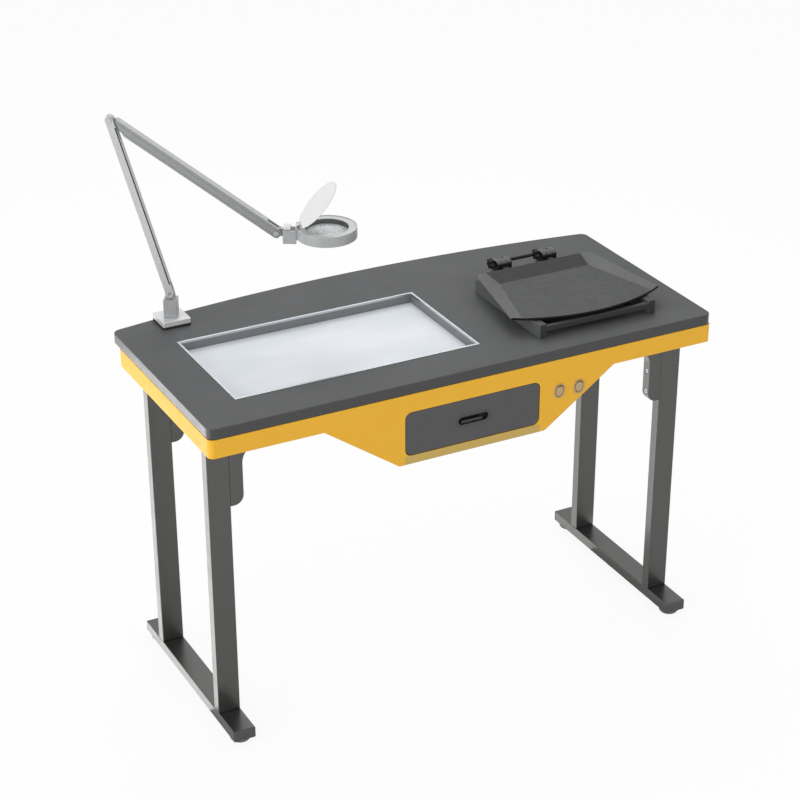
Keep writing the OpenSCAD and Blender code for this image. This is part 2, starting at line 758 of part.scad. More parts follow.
// The upper arm's elbow end is cut to a slope that clears the lower arm when folded
module upper_arm() color(silver) upper_place() {
    tongue(tongue_l, lower_s);
    difference() {
        union() {
            translate([0, -upper_s / 2, 0]) upright(upper_s) polygon([
                [-upper_s / 2, lower_s / 2 + neck_gap],
                [-upper_s / 4, lower_s / 2 + neck_gap],
                [upper_s / 2, tongue_l],
                [upper_s / 2, upper_l],
                [-upper_s / 2, upper_l]]);
            translate([0, 0, upper_l]) pin_y(upper_s, upper_s);
        }
        translate([0, 0, upper_l]) mirror([0, 0, 1]) fork_cut(fork_end, upper_s);
        translate([0, 0, upper_l]) pin_y(pin_d, upper_s + 2 * over);
    }
}
module head_pin() color(silver) lamp() translate(head) arm_pin(upper_s);

// Lens head
head_n = 30;
head_x0 = 14;
head_z0 = -22;
head_z1 = 7;
cap_w = 16;
cap_h = 9;
stud_d = 7;
module ring_cylinder(r, h) translate(ring_centre - [0, 0, over])
    cylinder(r = r, h = h + 2 * over);
module head_block() color(grey) lamp() difference() {
    union() {
        translate(head + [head_x0, -head_n / 2, head_z0])
            cube([ring_reach - ring_r + 20 - head_x0, head_n, head_z1 - head_z0]);
        translate(head) rotate([0, 90, 0]) difference() {
            union() {
                pin_y(lower_s, tongue_t);
                translate([-lower_s / 2, -tongue_t / 2, 0])
                    cube([lower_s, tongue_t, head_x0 + over]);
            }
        }
        translate(head + [head_x0 + cap_w + stud_d / 2 + 2, 0, head_z1 - over])
            cylinder(d = stud_d, h = cap_h - 2);
    }
    translate(head) pin_y(pin_d + 2 * run_fit, head_n);
    translate(ring_centre) cylinder(r = ring_r, h = ring_h);
    translate(ring_centre - [0, 0, 50]) cylinder(r = ring_r, h = 50 + over);
}
// White cap over the head's wiring
module head_cap() color(white) lamp() translate(head + [head_x0 + 1, -cap_w / 2, head_z1])
    cube([cap_w, cap_w, cap_h]);
// The place of the cover's hinge, on the rim of the ring
module at_cover() translate(ring_centre) rotate([0, 0, cover_turn])
    translate([-cover_reach, 0, ring_h + cover_rise]) children();
light_in = lens_r + 3;
light_out = ring_r - 3;
light_t = 3;
lens_edge = 3;
lens_ball = 220;
lens_mid = ring_h * 0.42;
module ring_housing() color(silver) lamp() {
    ring_body();
    at_cover() for (s = [0, 1]) mirror([0, s, 0]) difference() {
        translate([-4, ear_in, -cover_rise - over]) cube([8, ear_t, cover_rise + 4]);
        pin_y(cover_pin_d, 40);
    }
}
module ring_body() translate(ring_centre) difference() {
    cylinder(r = ring_r, h = ring_h, $fn = 96);
    translate([0, 0, -over]) cylinder(r = lens_r, h = ring_h + 2 * over, $fn = 96);
    translate([0, 0, -over]) difference() {
        cylinder(r = light_out, h = light_t + over, $fn = 96);
        translate([0, 0, -over]) cylinder(r = light_in, h = light_t + 3 * over, $fn = 96);
    }
}
lens_sag = lens_ball - sqrt(pow(lens_ball, 2) - pow(lens_r, 2));
module ring_lens() color([0.85, 0.92, 0.95, 0.5]) lamp()
    translate(ring_centre + [0, 0, lens_mid]) rotate_extrude($fn = 96) intersection() {
        translate([0, -lens_r]) square([lens_r, 2 * lens_r]);
        for_face(1);
        for_face(-1);
    }
module for_face(s) translate([0, s * (lens_edge / 2 + lens_sag - lens_ball)])
    circle(r = lens_ball, $fn = 720);
module ring_light() color(white) lamp() translate(ring_centre) difference() {
    cylinder(r = light_out, h = light_t, $fn = 96);
    translate([0, 0, -over]) cylinder(r = light_in, h = light_t + 2 * over, $fn = 96);
}
module lens_cover() color(white) lamp() at_cover() rotate([0, -cover_open, 0])
    difference() {
        union() {
            translate([cover_reach, 0, -3]) cylinder(r = cover_r, h = cover_t, $fn = 96);
            pin_y(cover_barrel_d, 8);
            translate([0, -4, -3]) cube([8, 8, cover_t]);
        }
        pin_y(cover_pin_d + 2 * run_fit, 20);
        translate([-10, ear_in - face_gap, -10]) cube([15 + 4, 20, 20]);
        mirror([0, 1, 0]) translate([-10, ear_in - face_gap, -10]) cube([15 + 4, 20, 20]);
    }
module cover_pin() color(grey) lamp() at_cover()
    pin_y(cover_pin_d, 2 * (ear_in + ear_t));

// Sample pan on its stand
pan_x = top_w - pan_from_right;
lip_cy = pan_front + lip_r;
pan_z = top_h + pan_h;
floor_back = 290;
wall_back = 340;
wall_half = 150;
corner_y = pan_front + lip_r - sqrt(pow(lip_r, 2) - pow(pan_wing_w / 2, 2));
stand_front = 62;
stand_h = pan_h - pan_t - face_gap;
bar_low = 14;
bar_top = 27;
post_xs = [-61.5, 56.5];
post_w = 37;
post_d = 33;
post_y = rod_y - post_d / 2;
rail_back = wall_back + 5;
bridge_d = 17;
rod_z = top_h + pan_h + 12;
cheek_t = 11;
post_foot = 9;
post_cover = 6;
lug_gap = face_gap;
lug_w = post_w - 2 * cheek_t - 2 * lug_gap;

module pan_stand() color(black) bench() {
    for (s = [-1, 1]) translate([pan_x + s * (pan_floor_w / 2 + 2 - rail_w / 2) - rail_w / 2,
        stand_front, top_h])
        cube([rail_w, rail_back - stand_front, stand_h]);
    translate([pan_x - pan_floor_w / 2, stand_front, top_h + bar_low])
        cube([pan_floor_w, 10, bar_top - bar_low]);
    translate([pan_x - pan_floor_w / 2, rail_back - bridge_d, top_h + bar_low])
        cube([pan_floor_w, bridge_d, bar_top - bar_low]);
    for (x = post_xs) translate([pan_x + x - post_w / 2, rail_back - over, top_h]) {
        translate([0, 0, bar_low]) cube([post_w, post_y - rail_back + 2 * over, bar_top - bar_low]);
        translate([0, post_y - rail_back + over, 0]) cube([post_w, post_d, bar_top]);
    }
}
// Sheet with a flat floor, two wings and a back wall, as rows of points from front to back
wing_slope = (pan_wing_w / 2 - wall_half) / (wall_back - corner_y);
row_front = pan_front - 5;
wing_front = wall_half + wing_slope * (wall_back - row_front);
fold_front = pan_wing_w / 2 - 25.5;
fold_back = wall_half - 34;
fold_slope = (fold_front - fold_back) / (floor_back - corner_y);
pan_rows = [
    [row_front, [wing_front, fold_front + fold_slope * (corner_y - row_front)], [1, 0]],
    [corner_y, [pan_wing_w / 2, fold_front], [1.5, 0]],
    [floor_back, [wall_half + wing_slope * (wall_back - floor_back), fold_back],
        [pan_wall_h * 0.8, 0]],
    [wall_back, [wall_half, wall_half - 26], [pan_wall_h, pan_wall_h]]];
function pan_points(drop) = [for (row = pan_rows) each [
    [-row[1][0], row[0], row[2][0] - drop], [-row[1][1], row[0], row[2][1] - drop],
    [row[1][1], row[0], row[2][1] - drop], [row[1][0], row[0], row[2][0] - drop]]];
pan_n = len(pan_rows);
function cell(i, j, up) = let (a = 4 * i + j, k = up ? 0 : 4 * pan_n)
    up ? [[a, a + 4, a + 5], [a, a + 5, a + 1]]
       : [[k + a, k + a + 5, k + a + 4], [k + a, k + a + 1, k + a + 5]];
function edge_pair(a, b) = let (k = 4 * pan_n) [[a, b, k + b], [a, k + b, k + a]];
pan_faces = [
    for (i = [0:pan_n - 2], j = [0:2], up = [true, false]) each cell(i, j, up),
    for (j = [0:2]) each edge_pair(j, j + 1),
    for (j = [0:2]) each edge_pair(4 * pan_n - 3 + j, 4 * pan_n - 4 + j),
    for (i = [0:pan_n - 2]) each edge_pair(4 * (i + 1), 4 * i),
    for (i = [0:pan_n - 2]) each edge_pair(4 * i + 3, 4 * i + 7)];
module pan_sheet() polyhedron(concat(pan_points(0), pan_points(pan_t)), pan_faces, 4);

lip_t = 5;
module sample_pan() color(dark) bench() {
    intersection() {
        translate([pan_x, 0, pan_z]) pan_sheet();
        translate([pan_x, lip_cy, pan_z - 50]) cylinder(r = lip_r - 3, h = 100, $fn = 180);
    }
    for (x = post_xs) translate([pan_x + x - lug_w / 2, 0, 0]) difference() {
        union() {
            translate([0, rod_y, rod_z]) bar_x(rod_d + 8, lug_w);
            translate([0, wall_back - 6, rod_z - 6])
                cube([lug_w, rod_y - wall_back + 6, 5]);
        }
        translate([-over, rod_y, rod_z]) bar_x(rod_d + 2 * run_fit, lug_w + 2 * over);
    }
}
module pan_lip() color(black) bench() intersection() {
    translate([pan_x, lip_cy, pan_z - pan_t]) difference() {
        cylinder(r = lip_r, h = lip_t, $fn = 180);
        translate([0, 0, -over]) cylinder(r = lip_r - 3, h = lip_t + 2 * over, $fn = 180);
    }
    translate([pan_x, 0, pan_z - 50]) linear_extrude(100)
        polygon([[-wing_front, row_front], [wing_front, row_front],
            [pan_wing_w / 2, corner_y], [-pan_wing_w / 2, corner_y]]);
}
module hinge_posts() color(black) bench() for (x = post_xs)
    translate([pan_x + x - post_w / 2, post_y, top_h + bar_top]) difference() {
        cube([post_w, post_d, rod_z - top_h - bar_top + post_cover]);
        translate([cheek_t, -over, post_foot])
            cube([lug_w + 2 * lug_gap, post_d + 2 * over, pan_h]);
        translate([-over, post_d / 2, rod_z - top_h - bar_top]) bar_x(rod_d, post_w + 2 * over);
    }
knob_t = 12;
knob_gap = 3;
rod_x0 = post_xs[0] - post_w / 2 - knob_gap - knob_t;
rod_x1 = post_xs[1] + post_w / 2 + 3;
module hinge_rod() color(black) bench() translate([pan_x + rod_x0, rod_y, rod_z])
    bar_x(rod_d, rod_x1 - rod_x0);
lobes = 5;
lobe_d = 7;
module knob(x) bench() translate([pan_x + x, rod_y, rod_z]) difference() {
    union() {
        bar_x(knob_d * 0.62, knob_t);
        for (i = [0:lobes - 1]) rotate([i * 360 / lobes + 90, 0, 0])
            translate([0, (knob_d - lobe_d) / 2, 0]) bar_x(lobe_d, knob_t);
    }
    translate([-over, 0, 0]) bar_x(rod_d + 2 * run_fit, knob_t + 2 * over);
}
module knob_left() color(black) knob(rod_x0);
module knob_right() color(black) knob(post_xs[1] - post_w / 2 - knob_gap - knob_t);

worktop();
front_panel();
side_panels();
rear_panel();
floor_pan();
cross_rails();
drawer_housing();
tray_rim();
lightbox_pan();
diffuser();
led_strips();
led_driver();
mains_inlet();
drawer_front();
drawer_pull();
drawer_box();
runners_fixed();
runners_moving();
switch_bezels();
switch_bodies();
rocker_left();
rocker_right();
leg_front_left();
leg_back_left();
leg_front_right();
leg_back_right();
foot_beam_left();
foot_beam_right();
beam_caps();
brackets_left();
brackets_right();
bracket_bolts();
foot_nuts();
foot_front_left();
foot_back_left();
foot_front_right();
foot_back_right();
lamp_pad();
lamp_base();
lamp_bolts();
lamp_swivel();
shoulder_pin();
lower_arm();
elbow_pin();
upper_arm();
head_pin();
head_block();
ring_housing();
ring_lens();
ring_light();
lens_cover();
cover_pin();
head_cap();
pan_stand();
sample_pan();
pan_lip();
hinge_posts();
hinge_rod();
knob_left();
knob_right();
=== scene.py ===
"""Laboratory inspection bench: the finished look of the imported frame, its light and its camera.

Sizes are in millimetres in the bench frame: x from the bench's left end, y from its front
face going back, z up from the floor. The matrices below turn them into the model's metres.
"""
import math

import bmesh
import bpy
from mathutils import Matrix, Vector


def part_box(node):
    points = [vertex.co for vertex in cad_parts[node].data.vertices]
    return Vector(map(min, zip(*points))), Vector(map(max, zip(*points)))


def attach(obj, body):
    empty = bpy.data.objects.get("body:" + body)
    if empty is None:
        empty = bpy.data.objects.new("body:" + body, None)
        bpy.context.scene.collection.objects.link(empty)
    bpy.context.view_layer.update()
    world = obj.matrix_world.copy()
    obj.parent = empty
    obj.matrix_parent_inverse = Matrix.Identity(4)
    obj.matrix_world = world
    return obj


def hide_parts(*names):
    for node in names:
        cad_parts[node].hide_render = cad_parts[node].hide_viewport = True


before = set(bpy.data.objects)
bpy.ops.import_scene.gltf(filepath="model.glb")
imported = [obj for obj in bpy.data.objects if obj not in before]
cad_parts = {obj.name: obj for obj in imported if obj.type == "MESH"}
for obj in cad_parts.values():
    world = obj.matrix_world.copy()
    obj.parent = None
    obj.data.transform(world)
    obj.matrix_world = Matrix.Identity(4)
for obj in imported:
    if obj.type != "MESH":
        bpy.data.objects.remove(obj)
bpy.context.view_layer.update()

MM = 0.001

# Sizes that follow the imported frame
TOP_H = 768.0
MID_X = 600.0
DRAWER_Z = 651.0
PULL_Z = 652.3
TRAY_XS, TRAY_YS = (90.0, 680.0), (95.0, 420.0)
FOOT_XS, FOOT_YS = (48.0, 1152.0), (24.5, 475.5)
SWITCH_XS = (811.0, 860.0)
SWITCH_Z = 668.5
LAMP_AT = (132.0, 513.0)
LAMP_TURN = math.radians(-32)
SHOULDER = 70.0
LOWER_L, LOWER_LEAN = 405.0, math.radians(15.3)
UPPER_L, UPPER_FALL, UPPER_S = 420.0, math.radians(35.1), 22.0
RING_R, RING_H, RING_REACH, LENS_R = 65.2, 24.0, 107.0, 47.0
RING_TOP = 16.0
COVER_PIN = (-61.0, 0.0, RING_H + 4.5)
PAN_X = 943.0
PAN_Z = 803.0
ROD_Y, ROD_Z = 377.0, 815.0
POST_XS = (PAN_X - 61.5, PAN_X + 56.5)
LUG_W = 14.2
CHEEK_IN, CHEEK_OUT = 7.5, 18.5
KNOB_W, KNOB_GAP, KNOB_BORE = 12.0, 3.0, 4.06

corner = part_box("worktop")[0]
BENCH = Matrix.Translation((corner.x, corner.y, 0)) @ Matrix.Scale(MM, 4)
MODEL = Matrix.Scale(MM, 4)
LAMP = BENCH @ Matrix.Translation((*LAMP_AT, TOP_H)) @ Matrix.Rotation(LAMP_TURN, 4, "Z")
ELBOW = Vector((-LOWER_L * math.sin(LOWER_LEAN), 0, SHOULDER + LOWER_L * math.cos(LOWER_LEAN)))
HEAD = ELBOW + Vector((UPPER_L * math.cos(UPPER_FALL), 0, -UPPER_L * math.sin(UPPER_FALL)))
RING = HEAD + Vector((RING_REACH, 0, RING_TOP - RING_H))
UPPER = LAMP @ Matrix.Translation(ELBOW) @ Matrix.Rotation(math.pi / 2 + UPPER_FALL, 4, "Y")
COVER_TURN = math.radians(12)
RING_PLACE = LAMP @ Matrix.Translation(RING)
HINGE = RING_PLACE @ Matrix.Rotation(COVER_TURN, 4, "Z") @ Matrix.Translation(COVER_PIN)
# A flat outline and its depth: as drawn, facing the bench's front, or with the depth along x
FLAT = Matrix.Identity(4)
FRONT = Matrix.Rotation(math.pi / 2, 4, "X")
ALONG_X = Matrix(((0, 0, 1, 0), (1, 0, 0, 0), (0, 1, 0, 0), (0, 0, 0, 1)))


# Colours and materials
def linear(code):
    """Linear colour of an sRGB hex value."""
    parts = [int(code[i:i + 2], 16) / 255 for i in (1, 3, 5)]
    bent = [p / 12.92 if p <= 0.04045 else ((p + 0.055) / 1.055) ** 2.4 for p in parts]
    return (*bent, 1.0)


def add(tree, kind, inputs, **settings):
    """Adds a node, sets it up and links or fills its inputs."""
    made = tree.nodes.new(kind)
    for key, value in settings.items():
        setattr(made, key, value)
    for key, value in inputs.items():
        if isinstance(value, bpy.types.NodeSocket):
            tree.links.new(value, made.inputs[key])
        else:
            made.inputs[key].default_value = value
    return made


def bare_tree(owner):
    """Emptied node tree of a material or a world."""
    owner.use_nodes = True
    owner.node_tree.nodes.clear()
    return owner.node_tree


def start(name, **shader_inputs):
    """A material with its shader, and the place on the object in metres."""
    material = bpy.data.materials.new(name)
    tree = bare_tree(material)
    inputs = {key.replace("_", " "): value for key, value in shader_inputs.items()}
    shader = add(tree, "ShaderNodeBsdfPrincipled", inputs)
    add(tree, "ShaderNodeOutputMaterial", {0: shader.outputs[0]})
    place = add(tree, "ShaderNodeTexCoord", {}).outputs["Object"]
    return material, tree, shader, place


def speckle(tree, place, size, dark, light, detail=2.0):
    """Colour that wanders between two tones in patches of a size in millimetres."""
    noise = add(tree, "ShaderNodeTexNoise",
                {"Vector": place, "Scale": 1000 / size, "Detail": detail})
    blend = add(tree, "ShaderNodeMix", {0: noise.outputs[0], 6: linear(dark), 7: linear(light)},
                data_type="RGBA")
    return blend.outputs[2]


def grain(tree, place, size, height, strength=1.0, under=None, detail=2.0):
    """Normals of a fine relief: grain size and height in millimetres."""
    noise = add(tree, "ShaderNodeTexNoise",
                {"Vector": place, "Scale": 1000 / size, "Detail": detail})
    inputs = {"Height": noise.outputs[0], "Distance": height * MM, "Strength": strength}
    if under is not None:
        inputs["Normal"] = under
    return add(tree, "ShaderNodeBump", inputs).outputs[0]


def gloss(tree, place, size, low, high):
    """Roughness that wanders between two values in patches of a size in millimetres."""
    noise = add(tree, "ShaderNodeTexNoise",
                {"Vector": place, "Scale": 1000 / size, "Detail": 3.0})
    spread = add(tree, "ShaderNodeMapRange",
                 {0: noise.outputs[0], 1: 0.3, 2: 0.7, 3: low, 4: high})
    return spread.outputs[0]


def dress(tree, shader, colour=None, rough=None, normal=None):
    """Links the finished colour, roughness and relief to the shader."""
    for socket, value in (("Base Color", colour), ("Roughness", rough), ("Normal", normal)):
        if value is not None:
            tree.links.new(value, shader.inputs[socket])


def laminate(name, dark, light, rough):
    """Melamine-faced board: a dry pebble of about 1 mm breaks its broad soft sheen."""
    material, tree, shader, place = start(name, IOR=1.5, Specular_IOR_Level=0.12)
    dress(tree, shader, speckle(tree, place, 2.2, dark, light, 6.0),
          gloss(tree, place, 90, rough - 0.05, rough + 0.06),
          grain(tree, place, 1.1, 0.06, 0.5))
    return material


def edge_band(name, dark, light):
    """ABS edge band: a smoother, glossier strip than the board that it closes."""
    material, tree, shader, place = start(name, IOR=1.54)
    dress(tree, shader, speckle(tree, place, 3.5, dark, light),
          gloss(tree, place, 40, 0.24, 0.32), grain(tree, place, 2.0, 0.02, 0.4))
    return material


def powder_coat(name, dark, light, rough, peel=2.6, shine=0.5):
    """Polyester powder coat on steel: even colour over a gentle orange peel."""
    material, tree, shader, place = start(name, IOR=1.5, Specular_IOR_Level=shine)
    fine = grain(tree, place, 0.6, 0.02, 0.35)
    dress(tree, shader, speckle(tree, place, 30, dark, light, 3.0),
          gloss(tree, place, 25, rough - 0.04, rough + 0.05),
          grain(tree, place, peel, 0.05, 0.5, fine))
    return material


def shaded_coat(name, dark, light, shade, low, high, half):
    """Powder coat whose strip under the drawer, from low to high, lies in shade."""
    material = powder_coat(name, dark, light, 0.45, 2.6, 0.2)
    tree = material.node_tree
    shader = next(n for n in tree.nodes if n.type == "BSDF_PRINCIPLED")
    colour = shader.inputs["Base Color"].links[0].from_socket
    place = next(n for n in tree.nodes if n.type == "TEX_COORD").outputs["Object"]
    where = add(tree, "ShaderNodeSeparateXYZ", {0: place})
    side = add(tree, "ShaderNodeMath", {0: where.outputs[0]}, operation="ABSOLUTE")
    blur = 1.2
    steps = []
    for value, edge, sign in ((side.outputs[0], half, -1), (where.outputs[2], low, 1),
                              (where.outputs[2], high, -1)):
        steps.append(add(tree, "ShaderNodeMapRange", {0: value, 1: (edge - blur * sign) * MM,
                                                      2: (edge + blur * sign) * MM}))
    inside = steps[0].outputs[0]
    for step in steps[1:]:
        both = add(tree, "ShaderNodeMath", {0: inside, 1: step.outputs[0]},
                   operation="MULTIPLY")
        inside = both.outputs[0]
    blend = add(tree, "ShaderNodeMix", {0: inside, 6: colour, 7: linear(shade)},
                data_type="RGBA")
    tree.links.new(blend.outputs[2], shader.inputs["Base Color"])
    return material


def anodised_tube(name, dark, light):
    """Anodised aluminium extrusion: dark satin metal with faint lines drawn along it."""
    material, tree, shader, place = start(name, Metallic=1.0)
    drawn = add(tree, "ShaderNodeMapping", {0: place, 3: (1.0, 1.0, 0.02)})
    dress(tree, shader, speckle(tree, drawn.outputs[0], 0.9, dark, light),
          gloss(tree, place, 35, 0.27, 0.36), grain(tree, drawn.outputs[0], 0.5, 0.01, 0.35))
    return material


def satin_aluminium(name, dark, light, rough):
    """Satin anodised aluminium: an etched grain of 0.8 mm mutes the pale metal's shine."""
    material, tree, shader, place = start(name, Metallic=1.0)
    dress(tree, shader, speckle(tree, place, 0.8, dark, light),
          gloss(tree, place, 18, rough - 0.04, rough + 0.05),
          grain(tree, place, 0.5, 0.012, 0.4))
    return material


def silver_paint(name, dark, light, rough):
    """Silver lacquer: pale grey; flake and orange peel drawn coarser than real, and faint."""
    material, tree, shader, place = start(name, Metallic=0.25, IOR=1.5)
    flake = add(tree, "ShaderNodeTexVoronoi", {"Vector": place, "Scale": 1000 / 5.0})
    tone = add(tree, "ShaderNodeMix", {0: flake.outputs[1], 6: linear(dark), 7: linear(light)},
               data_type="RGBA")
    dress(tree, shader, tone.outputs[2], gloss(tree, place, 20, rough - 0.05, rough + 0.05),
          grain(tree, place, 14.0, 0.03, 0.15, detail=1.0))
    return material


def galvanised(name):
    """Hot-dip galvanised sheet: angular spangles of 6 mm in slightly different greys."""
    material, tree, shader, place = start(name, Metallic=1.0)
    spangle = add(tree, "ShaderNodeTexVoronoi", {"Vector": place, "Scale": 1000 / 6.0})
    split = add(tree, "ShaderNodeSeparateColor", {0: spangle.outputs[1]})
    tone = add(tree, "ShaderNodeMix",
               {0: split.outputs[0], 6: linear("#868A8E"), 7: linear("#A9ADB0")},
               data_type="RGBA")
    rough = add(tree, "ShaderNodeMapRange", {0: split.outputs[1], 3: 0.38, 4: 0.55})
    dress(tree, shader, tone.outputs[2], rough.outputs[0], grain(tree, place, 1.5, 0.01, 0.4))
    return material


def opal_acrylic(name):
    """Opal acrylic lit by the strips below: a cool white that clouds softly, under gloss."""
    material, tree, shader, place = start(name, IOR=1.49, Roughness=0.45)
    wide = add(tree, "ShaderNodeMapping", {0: place, 2: (0, 0, 0.35), 3: (1.0, 2.2, 1.0)})
    cloud = add(tree, "ShaderNodeTexNoise",
                {"Vector": wide.outputs[0], "Scale": 1000 / 330, "Detail": 2.0})
    tone = add(tree, "ShaderNodeValToRGB", {0: cloud.outputs[0]})
    stops = ((0.36, "#CBD0D6"), (0.62, "#D8DCE1"))
    for element, (position, code) in zip(tone.color_ramp.elements, stops):
        element.position = position
        element.color = linear(code)
    tree.links.new(tone.outputs[0], shader.inputs["Base Color"])
    tree.links.new(tone.outputs[0], shader.inputs["Emission Color"])
    shader.inputs["Emission Strength"].default_value = 0.12
    dress(tree, shader, normal=grain(tree, place, 5.0, 0.01, 0.25))
    return material


def moulded(name, dark, light, rough, shine=0.5):
    """Moulded or drawn plastic: a matt grain of 0.7 mm under a soft sheen."""
    material, tree, shader, place = start(name, IOR=1.54, Specular_IOR_Level=shine)
    dress(tree, shader, speckle(tree, place, 5.0, dark, light),
          gloss(tree, place, 14, rough - 0.05, rough + 0.06), grain(tree, place, 0.7, 0.03, 0.5))
    return material


def rubber(name):
    """Black rubber: matt, with a dusty bloom in patches of a few millimetres."""
    material, tree, shader, place = start(name, IOR=1.5)
    dress(tree, shader, speckle(tree, place, 4.0, "#0F0F10", "#19191A", 4.0),
          gloss(tree, place, 9, 0.6, 0.8), grain(tree, place, 0.9, 0.04, 0.6))
    return material


def zinc_plate(name, dark="#A5A8AB", light="#C3C6C9", rough=0.3):
    """Zinc-plated steel: bright, its crystal bloom drawn coarser than real."""
    material, tree, shader, place = start(name, Metallic=1.0)
    dress(tree, shader, speckle(tree, place, 4.0, dark, light, 4.0),
          gloss(tree, place, 9, rough - 0.05, rough + 0.06), grain(tree, place, 5.0, 0.012, 0.2))
    return material


def lens_glass(name):
    """Crown glass under a pale film of haze, which spreads what is seen through it."""
    material, tree, shader, place = start(name, IOR=1.52, Transmission_Weight=0.5)
    dress(tree, shader, speckle(tree, place, 20, "#D7DADB", "#DEE1E2"),
          gloss(tree, place, 12, 0.2, 0.28))
    return material


def circuit_board(name):
    """White solder mask over glass-epoxy board: woven threads of 0.6 mm show in relief."""
    material, tree, shader, place = start(name, IOR=1.5, Roughness=0.35)
    weave = add(tree, "ShaderNodeTexChecker",
                {"Vector": place, "Scale": 1000 / 0.6,
                 "Color1": linear("#E9EBE6"), "Color2": linear("#DADDD6")})
    dress(tree, shader, weave.outputs[0], normal=grain(tree, place, 0.6, 0.02, 0.4))
    return material


BOARD = laminate("melamine_board_dark_grey", "#58595A", "#5F6061", 0.58)
EDGE = edge_band("abs_edge_band_dark_grey", "#303131", "#343535")
EDGE_LIT_LEFT = edge_band("abs_edge_band_painted_lit_left", "#464747", "#4B4C4C")
YELLOW = powder_coat("powder_coat_signal_yellow", "#E0A92F", "#E6B037", 0.45, 2.6, 0.2)
YELLOW_FRONT = shaded_coat("powder_coat_yellow_with_drawer_shade", "#E0A92F", "#E6B037",
                           "#BFA25A", low=579, high=600, half=164)
DRAWER = powder_coat("powder_coat_graphite", "#464647", "#4D4D4E", 0.45, 1.6, 0.4)
TUBE = anodised_tube("anodised_aluminium_dark_grey", "#5A5A59", "#646463")
RIM = satin_aluminium("anodised_aluminium_natural", "#B2B5B8", "#C4C7CA", 0.32)
TRAY = powder_coat("powder_coat_tray_grey", "#6E7072", "#7A7C7E", 0.4)
ZINC = galvanised("galvanised_sheet_steel")
OPAL = opal_acrylic("opal_acrylic_sheet")
BLACK = moulded("moulded_abs_black", "#141415", "#1A1A1B", 0.45, 0.25)
TRIM = moulded("moulded_abs_lip_trim", "#0B0B0C", "#101011", 0.6, 0.15)
CHARCOAL = moulded("moulded_abs_charcoal", "#3C3C3E", "#464648", 0.46)
PAN = moulded("vacuum_formed_abs_dark_grey", "#3E3F40", "#434445", 0.55, 0.25)
PAN_WALL_PAINTED_SHADE = moulded("vacuum_formed_abs_wall_painted_shade", "#2D2E2F", "#323334", 0.6, 0.2)
PAN_WINGS_PAINTED_LIGHT = moulded("vacuum_formed_abs_wings_painted_light", "#4F5051", "#575859", 0.5, 0.3)
CUP = moulded("moulded_abs_drawer_cup", "#353536", "#3C3C3D", 0.36)
STAND = moulded("moulded_abs_stand_black", "#2F3031", "#363738", 0.5, 0.3)
STAND_LIT_LEFT = moulded("moulded_abs_stand_painted_lit_left", "#545556", "#5C5D5E", 0.6, 0.3)
ROCKER = moulded("moulded_polycarbonate_warm_grey", "#B0956C", "#BAA079", 0.34)
BEZEL = moulded("moulded_abs_warm_grey", "#AC9262", "#B59C6E", 0.38)
COVER = moulded("moulded_abs_white", "#D6D6D6", "#DDDDDD", 0.38)
RUBBER = rubber("natural_rubber_black")
NYLON = moulded("glass_filled_nylon_grey", "#5E5F5F", "#6C6D6D", 0.4)
ARM = silver_paint("silver_lacquer_on_extruded_arm", "#B1B2B3", "#B8B9BA", 0.36)
ARM_SIDES_PAINTED_SHADE = silver_paint("silver_lacquer_arm_sides_painted_shade", "#868788", "#8B8C8D", 0.42)
CAST = silver_paint("silver_lacquer_on_zinc_casting", "#A1A2A3", "#A8A9AA", 0.4)
RING_COAT = silver_paint("silver_lacquer_on_lens_ring", "#B9BABB", "#C0C1C2", 0.36)
PLATE = silver_paint("silver_lacquer_on_base_plate", "#D2D3D4", "#DADBDC", 0.3)
BORE = silver_paint("silver_lacquer_bore_painted_shade", "#6C6D6E", "#737475", 0.5)
BOLT = zinc_plate("zinc_plated_steel")
DARK_STEEL = zinc_plate("blackened_steel", "#242426", "#323234", 0.35)
GLASS = lens_glass("crown_glass")
STRIP = circuit_board("white_mask_circuit_board")


# Meshes in millimetres
def neighbours(loops, ring):
    """Loops paired with the next one; in a ring the last meets the first."""
    pairs = list(zip(loops, loops[1:]))
    if ring:
        pairs.append((loops[-1], loops[0]))
    return pairs


def outward(bm):
    """The same mesh with every face turned outward."""
    bmesh.ops.recalc_face_normals(bm, faces=bm.faces)
    return bm


def loft(rows, ring=False):
    """Closed skin over loops of points; a ring joins its last loop to its first."""
    bm = bmesh.new()
    loops = [[bm.verts.new(p) for p in row] for row in rows]
    for a, b in neighbours(loops, ring):
        for i in range(len(a)):
            j = (i + 1) % len(a)
            bm.faces.new((a[i], a[j], b[j], b[i]))
    if not ring:
        bm.faces.new(loops[0][::-1])
        bm.faces.new(loops[-1])
    return bm


def turned(profile, steps, ring=False):
    """Solid turned round z from points of radius and height; radius 0 makes a pole."""
    bm = bmesh.new()
    loops = []
    for radius, z in profile:
        count = steps if radius > 0 else 1
        turns = [2 * math.pi * i / steps for i in range(count)]
        loops.append([bm.verts.new((radius * math.cos(t), radius * math.sin(t), z))
                      for t in turns])
    for a, b in neighbours(loops, ring):
        for i in range(steps):
            j = i + 1
            corners = (a[i % len(a)], a[j % len(a)], b[j % len(b)], b[i % len(b)])
            corners = list(dict.fromkeys(corners))
            if len(corners) > 2:
                bm.faces.new(corners)
    return bm


def sweep(angle, steps):
    """Angles from nothing up to one angle, in even steps."""
    return [angle * k / steps for k in range(steps + 1)]


def rounded(w, h, r, inset=0.0, steps=8):
    """Outline of a rectangle with round corners, centred on its own place."""
    w, h, r = w - 2 * inset, h - 2 * inset, max(r - inset, 0.4)
    points = []
    for i, (sx, sy) in enumerate(((1, 1), (-1, 1), (-1, -1), (1, -1))):
        for k in range(steps + 1):
            turn = math.pi / 2 * (i + k / steps)
            points.append((sx * (w / 2 - r) + r * math.cos(turn),
                           sy * (h / 2 - r) + r * math.sin(turn)))
    return points


def stack(w, h, r, rows, ring=False):
    """Rounded rectangle built up in rows of inset and height."""
    return loft([[(x, y, z) for x, y in rounded(w, h, r, inset)] for inset, z in rows], ring)


